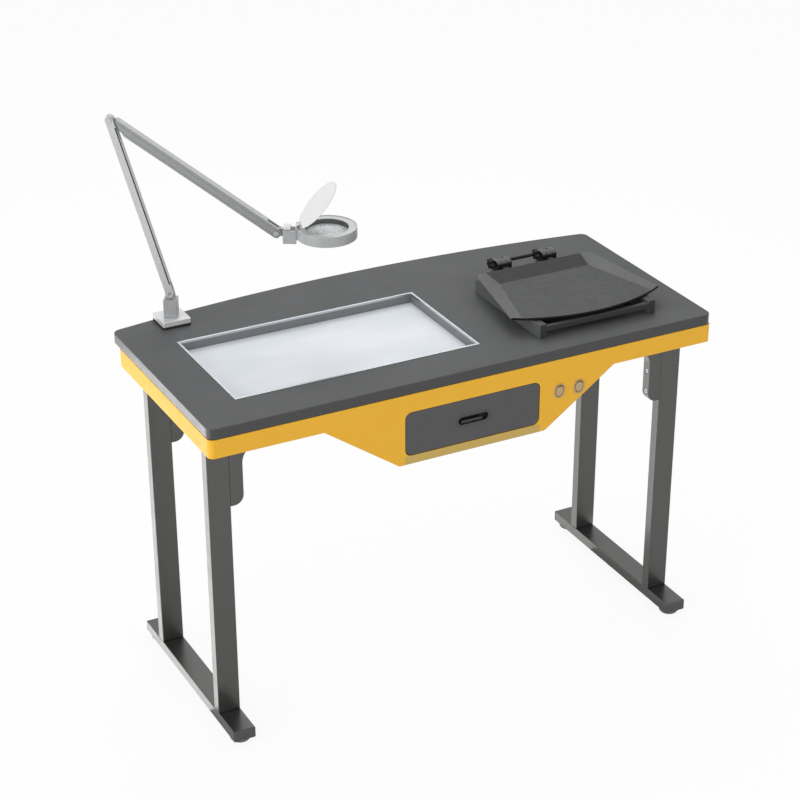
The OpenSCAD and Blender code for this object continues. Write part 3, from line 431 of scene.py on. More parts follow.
def pillow(depth, edge):
    """Rows of inset and height for a slab whose two rims are rounded."""
    turns = sweep(math.pi / 2, 4)
    low = [(edge * (1 - math.sin(t)), edge * (1 - math.cos(t))) for t in turns]
    high = [(edge * (1 - math.cos(t)), depth - edge * (1 - math.sin(t))) for t in turns]
    return low + high


def shrunk(points, edge):
    """Outline drawn in toward its own place by about an edge's width."""
    wide = max(abs(x) for x, y in points)
    tall = max(abs(y) for x, y in points)
    return [(x * (1 - edge / wide), y * (1 - edge / tall)) for x, y in points]


def slab(points, depth, edge, bore=0.0):
    """Plate of an outline with rounded rims, and a round eye at its own place if bored."""
    rows = [[(x, y, z) for x, y in shrunk(points, inset)] for inset, z in pillow(depth, edge)]
    if bore:
        eye = [math.atan2(y, x) for x, y in points]
        rows += [[(bore * math.cos(t), bore * math.sin(t), z) for t in eye]
                 for z in (depth, 0)]
    return outward(loft(rows, ring=bool(bore)))


def join(parts):
    """One mesh of several, each with its own matrix in millimetres."""
    whole = bmesh.new()
    for bm, place in parts:
        outward(bm).transform(place)
        mesh = bpy.data.meshes.new("part")
        bm.to_mesh(mesh)
        bm.free()
        whole.from_mesh(mesh)
        bpy.data.meshes.remove(mesh)
    return whole


def move(x, y, z):
    """Matrix of a shift in millimetres."""
    return Matrix.Translation((x, y, z))


def middle(face):
    """Middle of a face before its piece is put in place."""
    return face.calc_center_median()


def round_edges(bm, width, segments=3, angle=30, where=None, clamp=False):
    """Rounds the outward edges that are sharper than an angle."""
    sharp = [e for e in bm.edges
             if len(e.link_faces) == 2 and e.is_convex
             and e.calc_face_angle(0) > math.radians(angle)
             and (where is None or where((e.verts[0].co + e.verts[1].co) / 2))]
    made = bmesh.ops.bevel(bm, geom=sharp, offset=width, offset_type="OFFSET",
                           segments=segments, profile=0.5, affect="EDGES",
                           clamp_overlap=clamp, loop_slide=True)
    for face in made["faces"]:
        face.smooth = True


def cad_copy(node):
    """Merged copy of a CAD node's mesh, in millimetres in the model's frame."""
    bm = bmesh.new()
    bm.from_mesh(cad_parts[node].data)
    bm.transform(Matrix.Scale(1 / MM, 4))
    bmesh.ops.remove_doubles(bm, verts=bm.verts, dist=0.004)
    bmesh.ops.dissolve_limit(bm, angle_limit=math.radians(0.4), verts=bm.verts, edges=bm.edges)
    return bm


def corner_normals(bm, crease):
    """Normal of each face corner: broad faces stay flat and rounded edges blend into them."""
    limit = math.cos(math.radians(crease))
    area = {face: face.calc_area() for face in bm.faces}
    normals = []
    for face in bm.faces:
        for corner_vert in face.verts:
            near = [f for f in corner_vert.link_faces if f.normal.dot(face.normal) > limit]
            broad = [f for f in near if not f.smooth] or near
            total = sum((f.normal * area[f] for f in broad), Vector())
            normals.append(total.normalized() if total.length > 1e-12 else face.normal.copy())
    return normals


def show(name, data):
    """Object of a mesh, light or camera, linked to the scene."""
    obj = bpy.data.objects.new(name, data)
    bpy.context.scene.collection.objects.link(obj)
    return obj


def piece(name, bm, place, material, body, nodes=(), crease=35, others=()):
    """Turns a mesh into a finished piece on its body; others coat the faces they choose."""
    for index, (other, choose) in enumerate(others, 1):
        for face in bm.faces:
            if choose(face):
                face.material_index = index
    bm.transform(place)
    bm.normal_update()
    normals = corner_normals(bm, crease)
    mesh = bpy.data.meshes.new(name)
    bm.to_mesh(mesh)
    bm.free()
    mesh.shade_smooth()
    mesh.normals_split_custom_set(normals)
    mesh.materials.append(material)
    for other, choose in others:
        mesh.materials.append(other)
    obj = show(name, mesh)
    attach(obj, body)
    if nodes:
        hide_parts(*nodes)
    return obj


def softened(name, node, width, material, body, segments=3, where=None, others=()):
    """A CAD node with its outward edges rounded as the real part's are."""
    bm = cad_copy(node)
    round_edges(bm, width, segments, where=where)
    return piece(name, bm, MODEL, material, body, [node], others=others)


def bench_point(co):
    """Bench frame place of a point in the model's millimetres."""
    return co - Vector((corner.x, corner.y, 0)) / MM


# Worktop and panels
def on_outline(co):
    """True away from the tray's opening and the lamp's bolt holes, whose edges stay crisp."""
    p = bench_point(co)
    in_tray = TRAY_XS[0] < p.x < TRAY_XS[1] and TRAY_YS[0] < p.y < TRAY_YS[1]
    at_lamp = (p.xy - Vector(LAMP_AT)).length < 40
    return not in_tray and not at_lamp


# Left-facing edge faces take a lighter copy of the band: painted light.
softened("worktop_board", "worktop", 2.5, BOARD, "frame", 4, on_outline,
         [(EDGE, lambda face: abs(face.normal.z) < 0.7),
          (EDGE_LIT_LEFT, lambda face: face.normal.x < -0.75)])


def build_front_panel():
    """Yellow pressing with softened edges, and a sleeve round the drawer's opening, dark charcoal
    as painted shade in the gap.
    """
    bm = cad_copy("front_panel")
    round_edges(bm, 1.0, 2, clamp=True)
    piece("front_pressing", bm, MODEL, YELLOW_FRONT, "frame", ["front_panel"])
    # A return flange round the opening; its dark charcoal is painted shade for the gap round the
    # drawer.
    rows = [(0.0, 3.0), (0.0, 16.5), (-1.2, 16.5), (-1.2, 3.0)]
    tube = stack(325, 102, 15.5, rows, ring=True)
    place = BENCH @ move(MID_X, 0, DRAWER_Z) @ Matrix.Rotation(-math.pi / 2, 4, "X")
    piece("drawer_surround_painted_shade", tube, place, CHARCOAL, "frame", crease=50)


build_front_panel()
softened("side_panels_coated", "side_panels", 0.8, YELLOW, "frame", 2)
softened("rear_panel_coated", "rear_panel", 0.8, YELLOW, "frame", 2)

# Frame tubes, beams and brackets
for which in ("front_left", "back_left", "front_right", "back_right"):
    softened("leg_tube_" + which, "leg_" + which, 1.6, TUBE, "frame")
for which in ("left", "right"):
    softened("foot_tube_" + which, "foot_beam_" + which, 1.6, TUBE, "frame")
    softened("brackets_cast_" + which, "brackets_" + which, 1.2, TUBE, "frame")
softened("beam_end_caps", "beam_caps", 0.9, CHARCOAL, "frame")

# Light tray
softened("tray_rim_trim", "tray_rim", 0.45, RIM, "frame", 2)

# Drawer
softened("drawer_front_board", "drawer_front", 1.6, DRAWER, "drawer")


def build_pull():
    """Recessed cup: its lower rim rolls outward, and a finger bar crosses it low down."""
    mouth, floor = -0.5, -8

    def rise(depth, z):
        """Depth of a point: the rim stands out most along its lower side."""
        return depth * (1 if depth < 0 else 0.55 - 0.45 * z / 14)

    def shaded(face):
        wall = abs(face.normal.z) < 0.6
        return middle(face).z < mouth and (wall or middle(face).z < floor)

    rows = []
    for inset, depth in ((3.2, -11.8), (1.4, -11.2), (1.0, -9.6), (1.0, -0.4), (-4.8, -0.2),
                         (-5.4, 0.4), (-5.0, 1.0), (-3.4, 1.6), (-1.0, 1.9), (1.0, 1.5),
                         (2.0, 0.4), (2.4, -1.2), (2.6, -8.6), (4.2, -10.4)):
        rows.append([(x, z, rise(depth, z)) for x, z in rounded(76, 22, 11, inset, 12)])
    bar = stack(52, 6.5, 3, pillow(3.0, 1.2))
    tilt = move(-3, -4.6, -5.4) @ Matrix.Rotation(math.radians(-20), 4, "X")
    bm = outward(join([(loft(rows), FLAT), (bar, tilt)]))
    place = BENCH @ move(MID_X, 0, PULL_Z) @ FRONT
    # Faces inside the recess take darker tones: painted shade, black on its walls and deep floor,
    # near-black stand grey between.
    piece("drawer_pull_cup", bm, place, CUP, "drawer", ["drawer_pull"], 50,
          [(STAND, lambda face: floor < middle(face).z < mouth), (BLACK, shaded)])


build_pull()


# Switches
def build_switches():
    """Oval bezels with a raised roll, and rockers that dish toward their middle."""
    rows = [(0.0, -0.2), (0.0, 1.0), (0.6, 2.0), (1.4, 2.4), (2.2, 2.2), (2.9, 1.5),
            (3.8, 0.2), (3.8, -0.2)]
    bm = join([(stack(26.5, 34, 13, rows, ring=True), move(x, 0, SWITCH_Z) @ FRONT)
               for x in SWITCH_XS])
    piece("switch_bezels_oval", bm, BENCH, BEZEL, "frame", ["switch_bezels"],
          50)
    dish = 0.012
    rest = Matrix.Rotation(math.radians(10), 4, "X")
    for which, x in zip(("left", "right"), SWITCH_XS):
        rows = []
        for inset, rise in ((0.0, -4.0), (0.0, 3.6), (0.4, 4.6), (1.3, 5.2), (2.6, 5.3),
                            (4.6, 4.9), (6.6, 4.6)):
            rows.append([(a, b, rise + dish * b * b) for a, b in
                         rounded(17.6, 23.6, 8, inset)])
        place = BENCH @ move(x, 4, SWITCH_Z) @ rest @ FRONT
        piece("rocker_cap_" + which, outward(loft(rows)), place, ROCKER, "rocker_" + which,
              ["rocker_" + which], 50)


build_switches()


# Feet
def flute(bm):
    """Presses grip flutes into a foot's rim; they fade out toward its stem."""
    count, depth, smooth_to = 24, 0.7, 19
    for vert in bm.verts:
        radius = vert.co.xy.length
        if radius > smooth_to:
            turn = math.atan2(vert.co.y, vert.co.x)
            fade = min(1, (radius - smooth_to) / 3)
            dip = depth * max(0.0, math.cos(count * turn)) * fade
            vert.co.xy *= 1 - dip / radius


def build_feet():
    """Levelling feet: shallow moulded bowls with grip flutes, under threaded stems."""
    profile = [(0, 0.0), (15.0, 0.0), (17.5, 0.4), (20.0, 1.8), (21.8, 4.2), (22.8, 7.0),
               (23.0, 8.4), (22.4, 9.4), (20.5, 9.8), (10.5, 10.2), (9.2, 10.8), (8.8, 11.6),
               (5.0, 11.7), (5.0, 32.2), (4.2, 33.0), (0, 33.0)]
    for side, x in zip(("left", "right"), FOOT_XS):
        for end, y in zip(("front", "back"), FOOT_YS):
            which = end + "_" + side
            bm = turned(profile, 72)
            flute(bm)
            piece("levelling_foot_" + which, outward(bm), BENCH @ move(x, y, 0), NYLON,
                  "foot_" + which, ["foot_" + which], 40,
                  [(BOLT, lambda face: middle(face).xy.length < 6 and middle(face).z > 11)])


build_feet()

# Lamp
softened("lamp_base_plate", "lamp_base", 1.5, PLATE, "frame")
softened("lamp_swivel_block", "lamp_swivel", 1.3, CAST, "swivel")
softened("lamp_lower_arm", "lower_arm", 1.3, ARM, "lower_arm")


def build_arm_shade_strip():
    """Dark strip on the front face of the lower arm, along its lens side: painted shade for the
    arm's darker edge.
    """
    strip = stack(2.6, LOWER_L - 40, 1.1, pillow(0.5, 0.25))
    lower = LAMP @ move(0, 0, SHOULDER) @ Matrix.Rotation(-LOWER_LEAN, 4, "Y")
    place = lower @ move(7.4, -8.95, LOWER_L / 2 + 2) @ FRONT
    piece("lamp_arm_painted_shade_strip", strip, place, RUBBER, "lower_arm")


build_arm_shade_strip()


def arm_outline(half):
    """Upper half of the extrusion's outline: round corners, and grooves in its face."""
    r = 1.6
    groove = [(6.2, half), (5.9, half - 0.9), (4.7, half - 0.9), (4.4, half)]
    face = groove + [(-a, b) for a, b in groove[::-1]]
    quarter = [(half - r + r * math.sin(t), half - r + r * math.cos(t))
               for t in sweep(math.pi / 2, 5)]
    return [(-a, b) for a, b in quarter[::-1]] + face[::-1] + quarter


def arm_tongue():
    """Flat tongue inside the elbow end, rounded about the elbow pin."""
    eye = 9.0
    neck = [(-eye, 12.0), (-eye, 0.0)]
    neck += [(eye * math.sin(t - math.pi / 2), -eye * math.cos(t - math.pi / 2))
             for t in sweep(math.pi, 24)]
    neck += [(eye, 43.0)]
    return loft([[(a, b, c) for a, c in neck] for b in (-4, 4)])


def between(points, low, high):
    """Length of an outline between two cuts."""
    return outward(loft([[(a, b, cut(a)) for a, b in points] for cut in (low, high)]))


def build_upper_arm():
    """Grooved extrusion: its elbow end is cut to a slope and its head end is a fork."""
    half, slot = UPPER_S / 2, 4.3

    def elbow_cut(a):
        return max(12.0, 12 + (a + half / 2) * 2.0) if a < half else 45.0

    def fork_foot(a):
        return UPPER_L - 30

    def round_end(a):
        return UPPER_L + math.sqrt(max(0.0, half * half - a * a))

    upper = arm_outline(half)
    lower = [(a, -b) for a, b in upper[::-1]]
    prong = upper + [(half * math.sin(math.pi / 2 * (1 - k / 6)), slot) for k in range(13)]
    parts = [(between(upper + lower, elbow_cut, fork_foot), FLAT)]
    for mirror in (1, -1):
        solid = between(prong, fork_foot, round_end)
        parts.append((solid, Matrix.Scale(mirror, 4, (0, 1, 0))))
    parts.append((arm_tongue(), FLAT))
    # The arm's broad side faces take a darker copy of the lacquer: painted shade.
    piece("lamp_upper_arm", outward(join(parts)), UPPER, ARM, "upper_arm", ["upper_arm"],
          35, [(ARM_SIDES_PAINTED_SHADE, lambda face: abs(face.normal.y) > 0.6)])


build_upper_arm()
softened("lamp_head_block", "head_block", 1.2, CAST, "lens_head")


def build_ring():
    """Moulded lens ring: a low outer lip round a flat rim, and a stepped bore."""
    profile = [(RING_R - 1.2, 0.0), (RING_R - 0.3, 0.5), (RING_R, 1.5), (RING_R, RING_H - 1.5),
               (RING_R - 0.4, RING_H - 0.4), (RING_R - 1.2, RING_H), (RING_R - 2.4, RING_H),
               (RING_R - 3.0, RING_H - 0.3), (RING_R - 3.4, RING_H - 1.4),
               (RING_R - 4.4, RING_H - 1.7), (48.6, RING_H - 1.7), (47.2, RING_H - 2.2),
               (46.6, RING_H - 3.2), (46.4, 17.2), (47.0, 16.2), (LENS_R + 0.1, 15.8),
               (LENS_R + 0.1, 2.0), (LENS_R + 0.6, 0.6), (LENS_R + 2.6, 0.0)]

    def in_bore(face):
        p = middle(face)
        return p.xy.length < 48.0 and 1.5 < p.z < RING_H - 2.0

    bm = outward(turned(profile, 128, ring=True))
    # Upright outer faces take the darker casting grey and the bore's wall a darker grey still:
    # painted shade; the rim's top keeps the lighter lacquer.
    piece("lens_ring_moulding", bm, RING_PLACE, RING_COAT, "lens_head",
          ["ring_housing"], 40,
          [(CAST, lambda face: abs(face.normal.z) < 0.4), (BORE, in_bore)])
    ears = [(slab([(-4, -4.6), (4, -4.6), (4, 1), (2.8, 3.4), (0, 4.4), (-2.8, 3.4), (-4, 1)],
                  4.6, 0.8), move(0, y, 0) @ FRONT) for y in (9.2, -4.6)]
    piece("cover_hinge_ears", join(ears), HINGE, CAST, "lens_head", crease=50)


build_ring()
softened("lens_cover_disc", "lens_cover", 0.8, COVER, "lens_cover", 3)
softened("head_wiring_cap", "head_cap", 1.6, COVER, "lens_head", 4)


# Sample pan
PAN_FRONT = 112.7
WALL_FOOT = 290.0
PAN_BACK = 340.0
PAN_CORNER = 16.0
PAN_SHEET = 3.0
LIP_CY, EDGE_R, LIP_R = 465.0, 397.0, 398.5


def smooth(t):
    """Eases from 0 to 1 with a level start and end."""
    t = min(max(t, 0.0), 1.0)
    return t * t * (3 - 2 * t)


def bend(past, width):
    """Distance past a fold line, eased in over the fold's own width."""
    return (past + math.sqrt(past * past + width * width)) / 2


def pan_edge(y):
    """Half the pan's width at a depth, with the back corners rounded."""
    half = 150 + 39.5 * (PAN_BACK - y) / (PAN_BACK - PAN_FRONT)
    past = max(0.0, y - PAN_BACK + PAN_CORNER)
    return half - (PAN_CORNER - math.sqrt(max(0.0, PAN_CORNER ** 2 - past * past)))


def pan_fold(y):
    """Half the width between the two lines where the wings leave the floor."""
    if y < WALL_FOOT:
        return 116 + 48 * (WALL_FOOT - y) / (WALL_FOOT - PAN_FRONT)
    return 116 + 8 * (y - WALL_FOOT) / (PAN_BACK - WALL_FOOT)


def pan_height(x, y):
    """Height over the flat floor: wings at the sides and an inclined wall at the back."""
    half, fold = pan_edge(y), pan_fold(y)
    wall = 10 * bend(y - WALL_FOOT, 3) / (PAN_BACK - WALL_FOOT)
    edge = 1.5 + 6.5 * (y - PAN_FRONT) / (WALL_FOOT - PAN_FRONT)
    edge = min(edge, 8 + 2 * (y - WALL_FOOT) / (PAN_BACK - WALL_FOOT))
    return wall + max(0.0, edge - wall) * bend(abs(x) - fold, 4) / max(half - fold, 4)


def pan_point(c, r):
    """Point of the upper face: c is 1 at a wing's fold and 2 at its edge, r 1 at the wall."""
    def across(y):
        fold = pan_fold(y)
        reach = min(abs(c), 1) * fold + max(abs(c) - 1, 0) * (pan_edge(y) - fold)
        return math.copysign(reach, c)

    # The front edge is an arc, so a few rounds find where this line starts on it
    y = 100.0
    for _ in range(12):
        y = LIP_CY - math.sqrt(EDGE_R ** 2 - across(y) ** 2)
    if r <= 1:
        y += r * (WALL_FOOT - y)
    else:
        y = WALL_FOOT + (r - 1) * (PAN_BACK - WALL_FOOT)
    x = across(y)
    return Vector((PAN_X + x, y, PAN_Z + pan_height(x, y)))


def pan_sheet():
    """Dished sheet: an upper and a lower skin over one grid, closed round their border."""
    side = [0.15, 0.3, 0.45, 0.6, 0.74, 0.86, 0.93, 0.965, 0.985, 1.0,
            1.05, 1.12, 1.22, 1.38, 1.55, 1.72, 1.86, 1.95, 2.0]
    across = [-c for c in side[::-1]] + [0.0] + side
    along = [i / 20 * 0.94 for i in range(21)] + [0.965, 0.985, 1.0, 1.02, 1.05, 1.09, 1.16,
                                                   1.28, 1.42, 1.56, 1.7, 1.82, 1.91, 1.97, 2.0]
    bm = bmesh.new()
    sheets = []
    for drop in (0.0, PAN_SHEET):
        sheets.append([[bm.verts.new(pan_point(c, r) - Vector((0, 0, drop))) for c in across]
                       for r in along])
    top, low = sheets
    for i in range(len(along) - 1):
        for j in range(len(across) - 1):
            bm.faces.new((top[i][j], top[i][j + 1], top[i + 1][j + 1], top[i + 1][j]))
            bm.faces.new((low[i][j], low[i + 1][j], low[i + 1][j + 1], low[i][j + 1]))
    border = [(0, j) for j in range(len(across))]
    border += [(i, len(across) - 1) for i in range(1, len(along))]
    border += [(len(along) - 1, j) for j in range(len(across) - 2, -1, -1)]
    border += [(i, 0) for i in range(len(along) - 2, 0, -1)]
    for k, (i, j) in enumerate(border):
        m, n = border[(k + 1) % len(border)]
        bm.faces.new((top[i][j], low[i][j], low[m][n], top[m][n]))
    return outward(bm)


def pan_lugs():
    """The two round hinge lugs, each with the arm that ties it to the back wall."""
    lug = [(-16.4 * math.cos(t), -1.6 + 7.8 * math.sin(t)) for t in sweep(math.pi / 2, 10)]
    lug += [(6.2 * math.sin(t), 6.2 * math.cos(t)) for t in sweep(math.pi, 12)[1:]]
    lug += [(-10, -10), (-16.4, -10)]
    arm = [(-13.2, 0.8), (-13, 2.8), (-9.6, 3.6), (-6.5, 0.8), (14, -0.4), (14, -2), (-6, -3)]
    parts = []
    for x in POST_XS:
        left = x - LUG_W / 2
        parts.append((slab(lug, LUG_W, 0.5, 4.05), move(left, ROD_Y, ROD_Z) @ ALONG_X))
        parts.append((slab(arm, LUG_W, 0.4), move(left, ROD_Y - 28, ROD_Z - 8) @ ALONG_X))
    return parts


def build_pan():
    """Smooth scoop with its hinge lugs; the back wall is darker as painted shade, the wings paler
    as painted light, and the lugs' upright faces black as painted shade.
    """
    def behind(face):
        return middle(face).y > PAN_BACK + 0.6

    def on_wall(face):
        p = middle(face)
        return p.y > WALL_FOOT and abs(p.x - PAN_X) < pan_fold(p.y)

    def on_wing(face):
        p = middle(face)
        return abs(p.x - PAN_X) > pan_fold(p.y)

    sheet = pan_sheet()
    round_edges(sheet, 0.9, 3, angle=60)
    bm = join([(sheet, FLAT)] + pan_lugs())
    piece("sample_pan_scoop", bm, BENCH, PAN, "pan", ["sample_pan"], 50,
          [(PAN_WALL_PAINTED_SHADE, on_wall), (PAN_WINGS_PAINTED_LIGHT, on_wing), (CHARCOAL, behind),
           (BLACK, lambda face: behind(face) and abs(face.normal.z) < 0.5)])


build_pan()


def build_lip():
    """Black trim pressed over the pan's curved front edge, with rounded ends."""
    rows = []
    half = pan_edge(112.0) - 0.4
    reach = math.asin(half / LIP_R)
    section = rounded(3.0, 5.0, 1.4, steps=4)
    count, round_off = 96, 2.5
    for i in range(count + 1):
        turn = reach * (2 * i / count - 1)
        end = min(i, count - i) * 2 * reach * LIP_R / count
        squeeze = 1.0
        if end < round_off:
            squeeze = max(math.sqrt(1 - (1 - end / round_off) ** 2), 0.25)
        z = PAN_Z - 0.5 + 1.2 * smooth((abs(LIP_R * math.sin(turn)) - 160) / 28)
        ring = []
        for a, b in section:
            radius = LIP_R + a * squeeze
            ring.append((PAN_X + radius * math.sin(turn), LIP_CY - radius * math.cos(turn),
                         z + b * squeeze))
        rows.append(ring)
    piece("pan_lip_trim", outward(loft(rows)), BENCH, TRIM, "pan", ["pan_lip"], 60)


build_lip()
# Left-facing faces of the stand take a paler grey copy: painted light.
softened("pan_stand_rails", "pan_stand", 1.2, STAND, "frame",
         others=[(STAND_LIT_LEFT, lambda face: face.normal.x < -0.6)])


def build_hinge_heads():
    """Two domed cheeks on a foot, to either side of each lug of the pan."""
    half, base, spring = 16.5, -20.0, -1.2
    cheek = [(-half, base), (-half, spring)]
    cheek += [(-half * math.cos(t), spring + 7.4 * math.sin(t)) for t in sweep(math.pi, 20)[1:-1]]
    cheek += [(half, spring), (half, base)]
    parts = []
    for x in POST_XS:
        for left in (x - CHEEK_OUT, x + CHEEK_IN):
            solid = slab(cheek, CHEEK_OUT - CHEEK_IN, 1.5, 4.0)
            parts.append((solid, move(left, ROD_Y, ROD_Z) @ ALONG_X))
        foot = stack(16.0, 2 * half, 1.2, pillow(9, 0.8))
        parts.append((foot, move(x, ROD_Y, ROD_Z + base)))
    # Tops take the lighter charcoal and upright faces the black: painted light above and painted
    # shade on the sides of one black moulding.
    piece("hinge_heads", join(parts), BENCH, CHARCOAL, "frame", ["hinge_posts"],
          45, [(BLACK, lambda face: abs(face.normal.z) < 0.5)])


build_hinge_heads()


def build_knobs():
    """Five-lobed clamp knobs with dished faces, each to the left of its hinge post."""
    turns = [2 * math.pi * i / 100 for i in range(100)]
    lobes = [9.8 + 2.2 * math.cos(5 * t) for t in turns]
    outline = [(r * math.cos(t), r * math.sin(t)) for r, t in zip(lobes, turns)]
    rows = []
    for scale, z in ((0.84, 0.0), (0.95, 0.5), (1.0, 1.6), (1.0, 10.4), (0.95, 11.5),
                     (0.84, KNOB_W), (0.6, 11.4), (0.42, 11.4)):
        rows.append([(a * scale, b * scale, z) for a, b in outline])
    for z in (11.2, 0.2):
        rows.append([(KNOB_BORE * math.cos(t), KNOB_BORE * math.sin(t), z) for t in turns])
    for which, post in zip(("left", "right"), POST_XS):
        start_x = post - CHEEK_OUT - KNOB_GAP - KNOB_W
        place = BENCH @ move(start_x, ROD_Y, ROD_Z) @ Matrix.Rotation(math.pi / 2, 4, "Y")
        piece("clamp_knob_" + which, outward(loft(rows, ring=True)), place, BLACK,
              "knob_" + which, ["knob_" + which], 50)


build_knobs()


# Repeated fixings
def screw_head(tree, radius, height):
    """Pan head in nodes: a low wall under a shallow dome."""
    wall = add(tree, "GeometryNodeMeshCone",
               {"Vertices": 20, "Radius Top": radius, "Radius Bottom": radius, "Depth": height})
    small = add(tree, "ShaderNodeMath", {0: radius, 1: 0.72}, operation="MULTIPLY")
    rise = add(tree, "ShaderNodeMath", {0: height, 1: 0.6}, operation="MULTIPLY")
    dome = add(tree, "GeometryNodeMeshCone",
               {"Vertices": 20, "Radius Top": small.outputs[0], "Radius Bottom": radius,
                "Depth": rise.outputs[0]})
    up = add(tree, "ShaderNodeCombineXYZ", {2: height})
    crown = add(tree, "GeometryNodeTransform", {0: dome.outputs[0], 1: up.outputs[0]})
    head = add(tree, "GeometryNodeJoinGeometry", {})
    for part in (wall, crown):
        tree.links.new(part.outputs[0], head.inputs[0])
    return head.outputs[0]


def screw_tree():
    """Puts a pan-head screw on every point, each turned by chance about its own axis."""
    tree = bpy.data.node_groups.new("pan_head_screws", "GeometryNodeTree")
    face = tree.interface
    face.new_socket("Geometry", in_out="INPUT", socket_type="NodeSocketGeometry")
    for name in ("Head radius", "Head height"):
        face.new_socket(name, in_out="INPUT", socket_type="NodeSocketFloat")
    face.new_socket("Facing", in_out="INPUT", socket_type="NodeSocketVector")
    face.new_socket("Seed", in_out="INPUT", socket_type="NodeSocketInt")
    face.new_socket("Finish", in_out="INPUT", socket_type="NodeSocketMaterial")
    face.new_socket("Geometry", in_out="OUTPUT", socket_type="NodeSocketGeometry")
    given = add(tree, "NodeGroupInput", {}).outputs
    head = screw_head(tree, given[1], given[2])
    full_turn = 6.283
    chance = add(tree, "FunctionNodeRandomValue", {"Seed": given[4]}, data_type="FLOAT")
    chance.inputs[3].default_value = full_turn
    spin = add(tree, "ShaderNodeCombineXYZ", {2: chance.outputs[1]})
    facing = add(tree, "FunctionNodeRotateEuler",
                 {0: given[3], 1: spin.outputs[0]}, space="LOCAL")
    spread = add(tree, "GeometryNodeInstanceOnPoints",
                 {0: given[0], 2: head, 5: facing.outputs[0]})
    real = add(tree, "GeometryNodeRealizeInstances", {0: spread.outputs[0]})
    done = add(tree, "GeometryNodeSetMaterial", {0: real.outputs[0], 2: given[5]})
    add(tree, "NodeGroupOutput", {0: done.outputs[0]})
    return tree


def screws(name, points, facing, seed, radius=4.0, height=1.6):
    """A set of screws at points of the bench frame, as one plain mesh on the frame."""
    mesh = bpy.data.meshes.new(name)
    mesh.from_pydata([BENCH @ Vector(p) for p in points], [], [])
    obj = show(name, mesh)
    spread = obj.modifiers.new("screws", "NODES")
    spread.node_group = SCREWS
    values = {"Head radius": radius * MM, "Head height": height * MM, "Facing": facing,
              "Seed": seed, "Finish": BOLT}
    for item in SCREWS.interface.items_tree:
        if item.in_out == "INPUT" and item.name in values:
            spread[item.identifier] = values[item.name]
    graph = bpy.context.evaluated_depsgraph_get()
    made = bpy.data.meshes.new_from_object(obj.evaluated_get(graph))
    obj.modifiers.clear()
    obj.data = made
    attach(obj, "frame")


SCREWS = screw_tree()
screws("rear_panel_screws", [(x, 488.6, z) for x in (60, 330, 600, 870, 1140)
                             for z in (711, 734)], (-math.pi / 2, 0, 0), seed=3)
screws("floor_pan_screws", [(x, y, 701.4) for x in (110, 380, 820, 1090) for y in (60, 440)],
       (math.pi, 0, 0), seed=5)

# CAD nodes whose shape is right as it is
KEPT = {
    "floor_pan": ZINC, "cross_rails": ZINC, "drawer_housing": ZINC, "lightbox_pan": TRAY,
    "diffuser": OPAL, "led_strips": STRIP, "led_driver": ZINC, "mains_inlet": BLACK,
    "drawer_box": ZINC, "runners_fixed": BOLT, "runners_moving": BOLT, "switch_bodies": BLACK,
    "bracket_bolts": BOLT, "foot_nuts": BOLT, "lamp_pad": RUBBER, "lamp_bolts": BOLT,
    "shoulder_pin": BOLT, "elbow_pin": BOLT, "head_pin": BOLT, "ring_lens": GLASS,
    "ring_light": OPAL, "cover_pin": DARK_STEEL, "hinge_rod": DARK_STEEL,
}
for node, material in KEPT.items():
    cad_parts[node].data.materials.clear()
    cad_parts[node].data.materials.append(material)


# Floor, light and camera
def build_floor():
    """Pale floor that reads white to the camera and still takes a soft shadow."""
    material = bpy.data.materials.new("studio_floor_white")
    tree = bare_tree(material)
    matt = add(tree, "ShaderNodeBsdfDiffuse", {0: linear("#FAFAF9")})
    lit = add(tree, "ShaderNodeEmission", {0: (1, 1, 1, 1), 1: 1.0})
    path = add(tree, "ShaderNodeLightPath", {})
    share = add(tree, "ShaderNodeMath", {0: path.outputs["Is Camera Ray"], 1: 0.9},
                operation="MULTIPLY")
    mix = add(tree, "ShaderNodeMixShader",
              {0: share.outputs[0], 1: matt.outputs[0], 2: lit.outputs[0]})
    add(tree, "ShaderNodeOutputMaterial", {0: mix.outputs[0]})
    mesh = bpy.data.meshes.new("studio_floor")
    mesh.from_pydata([(-9, -9, 0), (9, -9, 0), (9, 14, 0), (-9, 14, 0)], [], [(0, 1, 2, 3)])
    mesh.materials.append(material)
    floor = show("studio_floor", mesh)


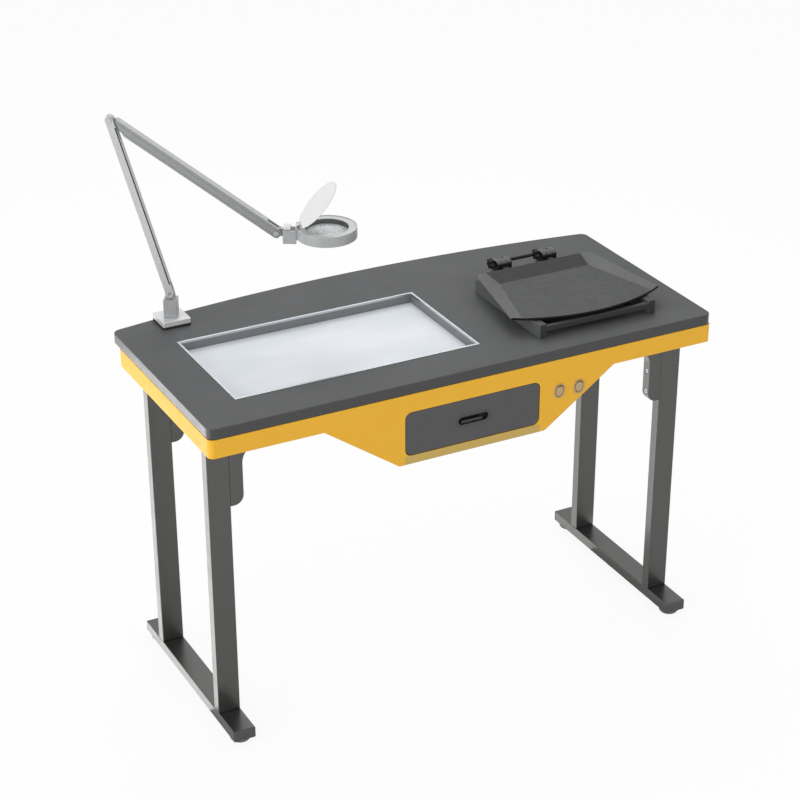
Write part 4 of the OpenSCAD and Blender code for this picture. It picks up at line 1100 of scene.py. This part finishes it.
def build_world():
    """Even white surroundings; the camera, glossy and clear rays see plain white."""
    world = bpy.data.worlds.new("studio")
    bpy.context.scene.world = world
    tree = bare_tree(world)
    path = add(tree, "ShaderNodeLightPath", {})
    seen = path.outputs["Is Camera Ray"]
    for ray in ("Is Glossy Ray", "Is Transmission Ray"):
        seen = add(tree, "ShaderNodeMath", {0: seen, 1: path.outputs[ray]},
                   operation="MAXIMUM").outputs[0]
    level = add(tree, "ShaderNodeMapRange", {0: seen, 3: 0.71, 4: 1.0})
    glow = add(tree, "ShaderNodeBackground", {0: (1, 1, 1, 1), 1: level.outputs[0]})
    add(tree, "ShaderNodeOutputWorld", {0: glow.outputs[0]})


def softbox(name, where, target, size, radiance):
    """Soft rectangular lamp that faces a point, out of the camera's own sight."""
    light = bpy.data.lights.new(name, "AREA")
    light.shape = "RECTANGLE"
    light.size, light.size_y = size
    light.energy = radiance * math.pi * size[0] * size[1]
    lamp = show(name, light)
    lamp.visible_camera = False
    lamp.matrix_world = Matrix.Translation(where) @ \
        (Vector(target) - Vector(where)).to_track_quat("-Z", "Y").to_matrix().to_4x4()


def build_camera():
    """Camera at the photograph's place: 95.83 mm lens on a 36 mm sensor."""
    turn, fall, roll = math.radians(27.5556), math.radians(27.9909), math.radians(-0.1356)
    ahead = Vector((math.sin(turn) * math.cos(fall), math.cos(turn) * math.cos(fall),
                    -math.sin(fall)))
    right = Vector((math.cos(turn), -math.sin(turn), 0))
    up = right.cross(ahead)
    right, up = (right * math.cos(roll) + up * math.sin(roll),
                 up * math.cos(roll) - right * math.sin(roll))
    data = bpy.data.cameras.new("photo_view")
    data.sensor_width = 36
    data.lens = 95.831
    data.shift_x = (400 - 402.486) / 800
    data.shift_y = (453.921 - 400) / 800
    data.clip_end = 60
    camera = show("photo_view", data)
    rows = Matrix((right, up, -ahead)).transposed().to_4x4()
    eye = BENCH @ Vector((-1383.433, -3476.853, 2694.0))
    camera.matrix_world = Matrix.Translation(eye) @ rows
    bpy.context.scene.camera = camera


build_floor()
build_world()
build_camera()
softbox("key_above_behind", (0.7, 1.7, 3.2), (0, 0, 0.7), (1.6, 1.6), 3.3)
softbox("left_side", (-5.0, -1.0, 1.8), (0, 0, 0.5), (4.2, 3.4), 2.5)
softbox("front_fill", (0.6, -3.6, 1.6), (0, 0, 0.6), (3.0, 1.6), 0.9)
softbox("floor_left", (-1.15, 0.75, 0.01), (-1.15, 0.75, 1.0), (1.2, 1.8), 1.9)
softbox("floor_behind", (0.1, 0.75, 0.01), (0.1, 0.75, 1.0), (1.1, 1.4), 1.0)
bpy.context.scene.view_settings.view_transform = "Standard"
